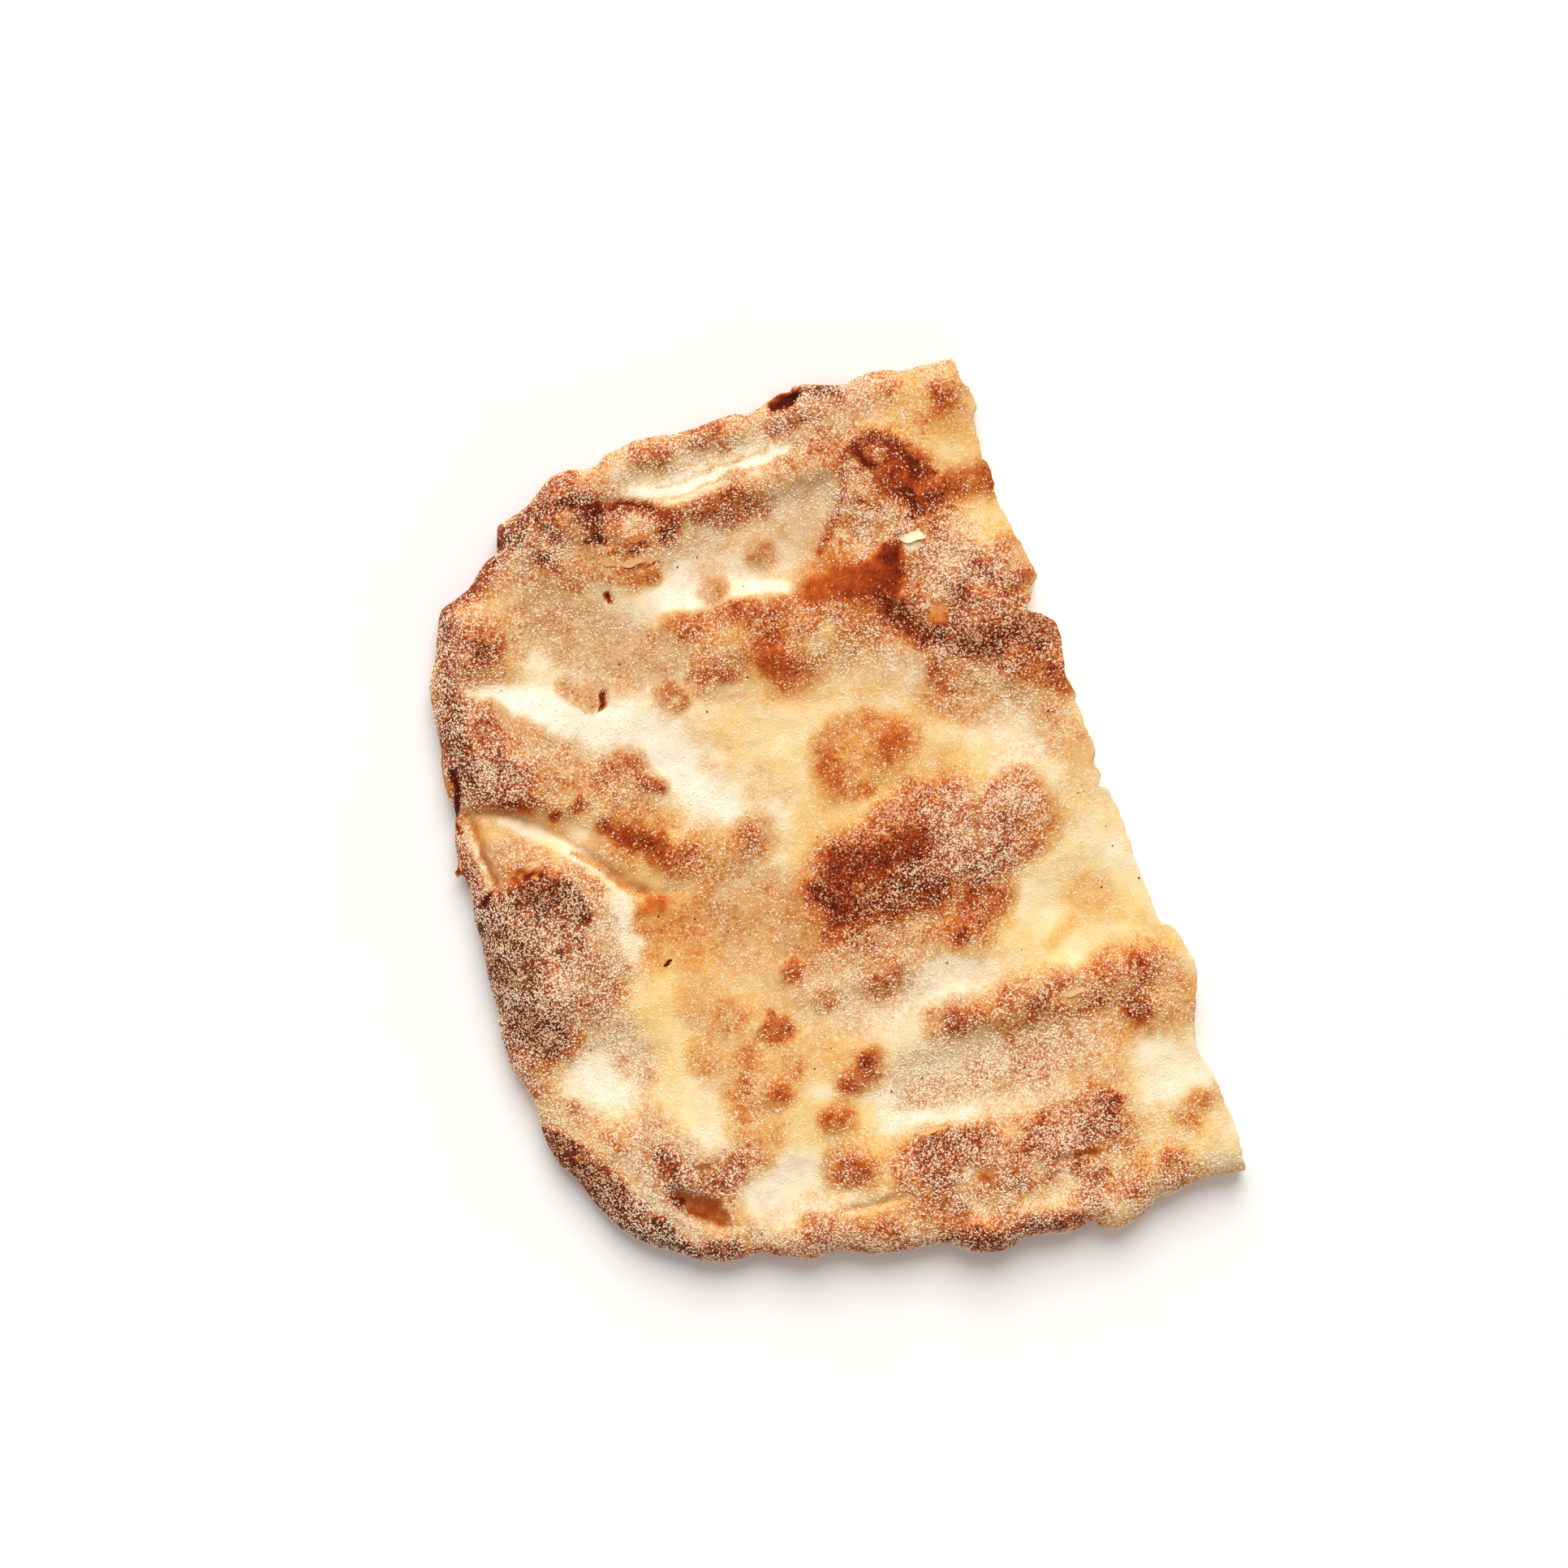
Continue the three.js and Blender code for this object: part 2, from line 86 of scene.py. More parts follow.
# The cut seen from above, from its upper end to its lower end, with the steps that tearing left.
CUT_EDGE = [
    (78.5, 104.5), (78.7, 97.3), (79.7, 96), (79.7, 90.3), (78.3, 89.3), (78, 86), (77.3, 78.7),
    (77.9, 76.7), (77.8, 72), (77, 69.3), (78.3, 58.7), (79, 53.3), (79.7, 47), (77.7, 45),
    (76.3, 42), (74.6, 40.9), (74.9, 39.2), (78, 37.3), (80, 34.7), (80.2, 30), (79.3, 26.7),
    (78.3, 21.3), (78.9, 16.7), (78.2, 14.7), (78.2, 8.7), (78.7, 2), (77.3, -1.3), (77.7, -4),
    (76.3, -7), (78.3, -8), (79, -14), (78.7, -24), (78.7, -37.3), (79, -43.3), (80.3, -44.3),
    (82, -46), (83, -50), (83.7, -54.7), (83.3, -58.7), (81, -64), (78.3, -70), (77.8, -72.7),
    (77.3, -76), (78, -79.3), (79, -84), (79, -90.7), (79.5, -97.3), (78.7, -104), (78.7, -108.3),
]
UPPER_LEFT_SHARE = 0.318  # of the baked edge's length, to the bend at its upper left
LOWER_LEFT_SHARE = 0.684  # and to the bend at its lower left

# Bubbles and hollows are ovals: middle, half sizes, turn in degrees, rise, and sharpness of edge.
OVALS = [
    # Bubbles.
    ((31, -7), (33, 13), 5, 3.0, 1.8),
    ((-62, 3), (20, 18), 65, 3.4, 1.6),
    ((-62, 3), (19.5, 17.6), 65, 2.0, 4.5),
    ((-72, -16), (12, 10), 60, 1.6, 1.4),
    ((63, 48), (17, 16), -35, 2.8, 1.7),
    ((70, 30), (12, 9), -60, 1.6, 1.4),
    ((-60, 46), (17, 12), -62, 3.2, 1.5),
    ((-55, 77), (11, 9), 30, 2.6, 1.4),
    ((-27, 101), (17, 7), 2, 2.8, 1.5),
    ((18, 91), (26, 4.2), -2, 1.7, 1.3),
    ((8, 108.5), (26, 4), 0, 1.2, 1.2),
    ((53, 78), (19, 9), -58, 1.9, 1.4),
    ((14, 56), (22, 9), -10, 1.7, 1.7),
    ((40, 59), (14, 9), 15, 1.6, 1.5),
    ((24, 20), (12.5, 8.5), -2, 1.1, 1.6),
    ((-32, 29), (8, 11), 18, 1.5, 1.5),
    ((-18, 12), (13, 6.5), -14, 1.3, 1.4),
    ((46, -50), (32, 6), -3, 2.3, 1.5),
    ((72, -56), (11, 10), -20, 1.9, 1.6),
    ((27, -83), (30, 8), -2, 2.2, 1.5),
    ((-26, -87), (8, 5.5), 0, 1.6, 1.5),
    ((13, -102), (9, 4.5), -8, 2.2, 1.7),
    ((30, -103), (9.5, 4.5), -10, 1.7, 1.6),
    ((47, -105), (7, 5), 0, 1.1, 1.6),
    ((62, -102), (5, 5), 0, 1.2, 1.8),
    ((-52, -55), (15, 10), -35, 1.8, 1.3),
    ((-36, 1), (6, 4.5), 0, 0.8, 1.3),
    ((73, 95), (8, 8), 0, 1.0, 1.2),
    # Hollows.
    ((13, 100), (24, 5), -1, -2.4, 1.6),
    ((16, 77), (28, 11), 8, -2.7, 2.0),
    ((-30, 69), (20, 14), -38, -2.7, 1.9),
    ((-52, 66), (13, 3.6), -24, -0.8, 1.2),
    ((-56, 30), (16, 4.5), -28, -2.8, 1.3),
    ((-36, 8), (10, 5), -50, -1.4, 1.2),
    ((-57, -31), (10.5, 10.5), 0, -2.5, 1.7),
    ((22, -63.5), (33, 9), 3, -2.3, 1.4),
    ((8, -40), (30, 6), -3, -1.2, 1.3),
    ((63, -31), (17, 9), 0, -1.2, 1.4),
    ((-18, -12), (24, 14), -20, -0.9, 1.2),
    ((56, 20), (15, 8), -30, -1.0, 1.3),
    ((-24, -76), (14, 6.5), -14, -1.5, 1.4),
    ((-9, -85), (10, 1.8), -2, -1.0, 1.2),
    ((-50.4, -71.8), (8.2, 4.2), -54, -6.2, 4.0),
    ((72, -78), (9, 7), 0, -1.2, 1.3),
    ((73, 66), (6, 5), 0, -1.0, 1.3),
]
# Small blisters, knobs and holes that the plain solid is too coarse for.
SMALL_OVALS = [
    ((52, 88), (3.2, 2.8), 20, 1.1, 1.8),
    ((56, 81), (2.6, 2.2), 0, 0.7, 1.6),
    ((-14, 49), (3.8, 3.2), 0, 0.9, 1.8),
    ((-14.3, 49), (1.5, 1.3), 0, -0.7, 1.4),
    ((4, 70), (3.4, 2.6), 20, 0.7, 1.6),
    ((17, 75), (5, 3), 25, 0.6, 1.5),
    ((13, 53), (3.2, 2.6), 0, -0.6, 1.6),
    ((33, 20), (4, 3.6), 0, 0.7, 1.8),
    ((-7.5, 10.5), (3, 2.6), 0, 0.7, 1.6),
    ((-26, 30), (3, 3.8), 20, 0.8, 1.6),
    ((-24, -51), (3.6, 3.2), 0, 0.8, 1.6),
    ((-19, -35), (4.4, 2.8), -15, 0.8, 1.6),
    ((-3, -53), (5.4, 3), 25, 0.9, 1.6),
    ((-12, -62), (4.4, 3), 0, 0.8, 1.5),
    ((-12, -75), (5.4, 3.6), 0, 1.0, 1.6),
    ((-10, -24), (3.8, 3), 0, 0.7, 1.5),
    ((12, -33), (5.4, 3.4), 0, 0.8, 1.5),
    ((35, -29), (5, 3.4), 25, 0.8, 1.6),
    ((62, -102), (2.2, 2.2), 0, -0.9, 1.6),
    ((53, -52), (4.4, 2.6), 0, -0.6, 1.8),
    ((-66, -50), (5, 3.6), 0, 0.8, 1.4),
    ((44, 78), (4, 6), 20, 0.9, 1.5),
    ((35.6, 108.2), (4.4, 1.8), -3, -5.0, 2.6),
    ((36.4, 110.4), (5, 0.8), -3, 1.2, 1.4),
    ((-21.2, 77.5), (0.9, 1.6), -8, -1.6, 1.8),
    ((-30.6, 52.6), (1.4, 0.6), 30, -1.2, 1.6),
    ((-29.4, 54.6), (0.7, 1.6), -6, -1.5, 1.6),
]
# Creases, slits and cracks: a path, the depth, and the half width.
CREASES = [
    ([(-68, 39), (-62, 35.4), (-55, 29.6), (-49.6, 23.6), (-45, 17), (-41.4, 10.8), (-38, 6.8)],
     2.1, 1.3),
    ([(-38, 6.8), (-34, 4.4), (-30, 3.6)], 0.8, 1.6),
    ([(-41, 3), (-41.2, -3), (-44, -9)], 0.7, 1.3),
    ([(-24, 101), (-17, 97), (-11, 96), (-4, 93), (1, 91)], 1.5, 1.6),
    ([(-79, -38), (-74, -47), (-68, -58), (-63, -68), (-57, -75)], 0.5, 2.0),
    ([(-71, 41), (-70.6, 30), (-71.2, 20)], 1.8, 1.0),
    ([(51, 67.4), (50.6, 62), (49.4, 57)], 1.5, 1.0),
    ([(49, 66), (44, 67.5), (40, 72)], 0.5, 1.4),
    ([(36, -89), (40, -89.2), (45.5, -91)], 1.2, 0.8),
    ([(-66.5, 21), (-64, 22.5), (-62, 20), (-58.5, 19.3)], 1.4, 0.8),
    ([(-74.5, 38), (-73.5, 35)], 1.2, 0.8),
    ([(-75, 16), (-73, 19)], 1.2, 0.8),
    ([(-71.4, 50), (-72, 45), (-74.6, 41)], 2.2, 0.9),
    ([(44.4, 89), (42, 81), (37, 75), (30, 71)], 0.6, 1.2),
    ([(45, 79.4), (49, 74.6)], 0.6, 0.9),
    ([(-20, 102), (-14, 98.6), (-8, 97), (-3, 94.6)], 1.0, 0.9),
    ([(-40, 61), (-35, 55), (-29, 51)], 0.4, 1.4),
    ([(-49, -61), (-44, -62)], 0.8, 0.7),
    ([(-17, -84.6), (-11, -85.2), (-5, -85.6)], 0.6, 1.1),
    ([(-61, 1), (-60.5, 7), (-61.5, 12)], 0.6, 0.8),
]
# Where the skin is wrinkled: middle, half sizes, turn, height and wavelength.
WRINKLES = [
    ((64, 47), (19, 20), -35, 1.1, 9),
    ((-20, 96), (22, 11), -18, 0.6, 6.5),
    ((26, -90), (28, 12), -4, 0.5, 8),
    ((-10, 34), (24, 20), 0, 0.4, 11),
]
# Where the underside arched off the oven floor: middle, half sizes, turn and height.
ARCHES = [
    ((-22, 58), (34, 18), 20, 1.6),
    ((34, -58), (32, 15), -10, 1.4),
    ((-40, -38), (24, 14), 55, 1.3),
    ((36, 44), (20, 30), 0, 1.2),
]
# Slow swells of the dough: height and wavelength in mm, and a seed.
SWELLS = [(0.45, 27, 3), (0.25, 12, 4), (0.10, 8, 8)]
# Lumps: height in mm, what browning adds to it, size in mm, and a seed.
LUMPS = [(0.12, 0, 4.6, 13), (0.05, 0.22, 3.1, 11), (0.04, 0.13, 1.7, 12)]
BLISTERED = (0.25, 0.7)  # the browning from which the skin blisters, and at which it has in full
BLISTERED_RISE = 0.2  # mm that blistered skin stands proud


def ripple(x, y, wavelength, seed):
    """An even, never repeating wobble from -1 to 1: five sine waves in directions a golden angle
    apart, each 0.23 wavelengths longer and 1.3 radians further on than the one before."""
    total = 0
    for i in range(5):
        angle = seed + i * GOLDEN_ANGLE
        turns = (x * math.cos(angle) + y * math.sin(angle)) / (wavelength * (1 + 0.23 * i))
        total = total + np.sin(turns * 2 * math.pi + seed * 3.1 + i * 1.3) / 5
    return total


def mottle(x, y, size, seed):
    """Uneven noise from -1 to 1: values by chance on a turned lattice with cells of this size,
    joined by smooth steps. A corner's value is the fraction of a large multiple of a sine."""
    angle = seed * GOLDEN_ANGLE
    u = (x * math.cos(angle) + y * math.sin(angle)) / size + 500
    v = (y * math.cos(angle) - x * math.sin(angle)) / size + 500
    i, j = np.floor(u), np.floor(v)
    fu, fv = (f * f * (3 - 2 * f) for f in (u - i, v - j))

    def corner(di, dj):
        value = np.sin((i + di) * 127.1 + (j + dj) * 311.7 + seed * 74.7) * 43758.5453
        return value - np.floor(value)

    low = corner(0, 0) * (1 - fu) + corner(1, 0) * fu
    high = corner(0, 1) * (1 - fu) + corner(1, 1) * fu
    return 2 * (low * (1 - fv) + high * fv) - 1


def mottles(x, y, layers):
    """The sum of several such noises, each as strong and as large as its layer says."""
    return sum(strength * mottle(x, y, size, seed) for strength, size, seed in layers)


# How places are pushed about: the kind of wobble, its reach and size in mm, and seeds for x and y.
WARPS = [(ripple, 0.9, 21, 1, 2), (mottle, 0.8, 6.5, 1, 3), (mottle, 0.5, 2.3, 2, 4)]


def warped(x, y):
    """The same place pushed about by slow and quick wobbles, so that no oval stays a true oval."""
    wx = x + sum(reach * wobble(x, y, size, seed) for wobble, reach, size, seed, _ in WARPS)
    wy = y + sum(reach * wobble(x, y, size, seed) for wobble, reach, size, _, seed in WARPS)
    return wx, wy


def smooth_step(value, low, high):
    """0 below low, 1 above high, and the cubic 3t² - 2t³ between."""
    t = np.clip((value - low) / (high - low), 0, 1)
    return t * t * (3 - 2 * t)


def oval_distance(middle, half, turn, x, y):
    """Squared distance from an oval's middle, as a share of its half sizes."""
    turn = math.radians(turn)
    dx, dy = x - middle[0], y - middle[1]
    along = (dx * math.cos(turn) + dy * math.sin(turn)) / half[0]
    across = (dy * math.cos(turn) - dx * math.sin(turn)) / half[1]
    return along**2 + across**2


def ovals_height(ovals, x, y):
    """The sum of rounded ovals: rise times exp(-q^sharpness), q being the oval's distance."""
    return sum(
        rise * np.exp(-(oval_distance(middle, half, turn, x, y) ** sharpness))
        for middle, half, turn, rise, sharpness in ovals
    )


def stretch_distance(start, end, x, y):
    """Distance to a straight stretch, and the nearest point's share of the way along it."""
    ex, ey = end[0] - start[0], end[1] - start[1]
    dot = (x - start[0]) * ex + (y - start[1]) * ey
    t = np.clip(dot / (ex * ex + ey * ey + 1e-12), 0, 1)
    return np.hypot(x - start[0] - t * ex, y - start[1] - t * ey), t


def path_distance(path, x, y):
    """Distance to the nearest point of a path of straight stretches."""
    nearest = np.full(np.shape(x), np.inf)
    for start, end in zip(path[:-1], path[1:]):
        nearest = np.minimum(nearest, stretch_distance(start, end, x, y)[0])
    return nearest


def even_points(points, count):
    """Points at equal steps of length along a Catmull-Rom spline through the given points."""
    points = np.array(points, float)
    padded = np.vstack([points[:1], points, points[-1:]])
    t = np.linspace(0, 1, SPLINE_STEPS, endpoint=False)[None, :, None]
    p0, p1, p2, p3 = (padded[k : len(padded) - 3 + k, None, :] for k in range(4))
    v0, v1 = (p2 - p0) / 2, (p3 - p1) / 2
    curve = (2 * (p1 - p2) + v0 + v1) * t**3 + (3 * (p2 - p1) - 2 * v0 - v1) * t**2 + v0 * t + p1
    curve = np.vstack([curve.reshape(-1, 2), points[-1:]])
    length = np.concatenate([[0], np.cumsum(np.hypot(*np.diff(curve, axis=0).T))])
    at = np.linspace(0, length[-1], count + 1)
    return np.stack([np.interp(at, length, curve[:, k]) for k in (0, 1)], axis=-1)


baked_points = even_points(BAKED_EDGE, EDGE_POINTS)
cut_points = even_points(CUT_EDGE, EDGE_POINTS)
# Crumbs torn out along the knife cut leave it ragged by a few tenths of a millimetre.
ragged = mottles(cut_points[:, 1], 0 * cut_points[:, 1], [(0.28, 1.6, 3), (0.25, 4.5, 5)])
cut_points[1:-1, 0] += ragged[1:-1]


def along(points, share):
    """The point at a share from 0 to 1 of the length of an evenly spaced path."""
    at = np.clip(share, 0, 1) * (len(points) - 1)
    return np.stack([np.interp(at, np.arange(len(points)), points[:, k]) for k in (0, 1)], -1)


def plan_grid(u, v):
    """A Coons patch between the four sides: the two ruled surfaces between opposite sides, less
    the bilinear surface through the four corners."""
    top = along(baked_points, UPPER_LEFT_SHARE * (1 - u))[:, None]
    bottom = along(baked_points, LOWER_LEFT_SHARE + (1 - LOWER_LEFT_SHARE) * u)[:, None]
    left_share = LOWER_LEFT_SHARE + (UPPER_LEFT_SHARE - LOWER_LEFT_SHARE) * v
    left, right = along(baked_points, left_share)[None], along(cut_points, 1 - v)[None]
    u, v = u[:, None, None], v[None, :, None]
    ruled = (1 - v) * bottom + v * top + (1 - u) * left + u * right
    shared = (1 - v) * ((1 - u) * bottom[:1] + u * bottom[-1:])
    shared = shared + v * ((1 - u) * top[:1] + u * top[-1:])
    return ruled - shared


def stations(cells, length, both_ends):
    """Shares from 0 to 1, close together where the crust rolls over: one less the cosine of equal
    steps of angle there, and equal steps between."""
    steps = np.arange(ROLL_CELLS + 1) / ROLL_CELLS
    roll = (1 - np.cos(steps * math.pi / 2)) * (ROLL_WIDTH + ROLL_EXTRA_LEFT / 2) / length
    end = 1 - roll[-1] if both_ends else 1
    middle = np.linspace(roll[-1], end, cells - ROLL_CELLS * (2 if both_ends else 1) + 1)
    tail = [1 - roll[-2::-1]] if both_ends else []
    return np.concatenate([roll[:-1], middle, *tail])


def quarter_round(share):
    """The height of a quarter circle at a share of its radius from the rim."""
    return np.sqrt(1 - (1 - np.clip(share, 0, 1)) ** 2)


def seam_height(x, y):
    """The seam's height with a slow wobble."""
    return SEAM_HEIGHT + SEAM_WOBBLE * ripple(x, y, SEAM_WOBBLE_LENGTH, 6)


def upper_height(x, y, to_edge, toast_and_painted_light):
    """The dough's thickness with its bubbles, hollows, swells, wrinkles, creases and lumps added,
    rolled down to the seam as a quarter ellipse. Browned skin is blistered and a little proud.
    Wrinkles have others across them, 2.8 times as fine. Small ovals are only half as warped."""
    wx, wy = warped(x, y)
    height = BODY_THICKNESS + ovals_height(OVALS, wx, wy)
    height = height + ovals_height(SMALL_OVALS, (x + wx) / 2, (y + wy) / 2)
    for rise, wavelength, seed in SWELLS:
        height = height + rise * ripple(x, y, wavelength, seed)
    for middle, half, turn, rise, wavelength in WRINKLES:
        wrinkled = rise * np.exp(-(oval_distance(middle, half, turn, wx, wy) ** 2))
        fine = 0.55 * mottle(x, y, wavelength / 2.8, 9)
        height = height + wrinkled * (ripple(x, y, wavelength, 7) + fine)
    for path, depth, half in CREASES:
        height = height - depth * np.exp(-((path_distance(path, wx, wy) / half) ** 2))
    blistered = smooth_step(toast_and_painted_light, *BLISTERED)
    height = height + BLISTERED_RISE * blistered
    for rise, more, size, seed in LUMPS:
        height = height + (rise + more * blistered) * mottle(x, y, size, seed)
    seam = seam_height(x, y)
    width = ROLL_WIDTH + ROLL_EXTRA_LEFT * smooth_step(-x, 20, 75)
    return seam + (height - seam) * quarter_round(to_edge / width)


def lower_height(x, y, to_edge):
    """Flat where it lay on the oven floor, with low arches and shallow pits, and rolled up to the
    seam as a quarter ellipse."""
    height = PIT_HEIGHT * np.maximum(0, mottle(x, y, PIT_SIZE, 21)) ** 2
    for middle, half, turn, rise in ARCHES:
        height = height + rise * np.maximum(0, 1 - oval_distance(middle, half, turn, x, y)) ** 2
    seam = seam_height(x, y)
    return seam + (height - seam) * quarter_round(to_edge / UNDER_ROLL_WIDTH)
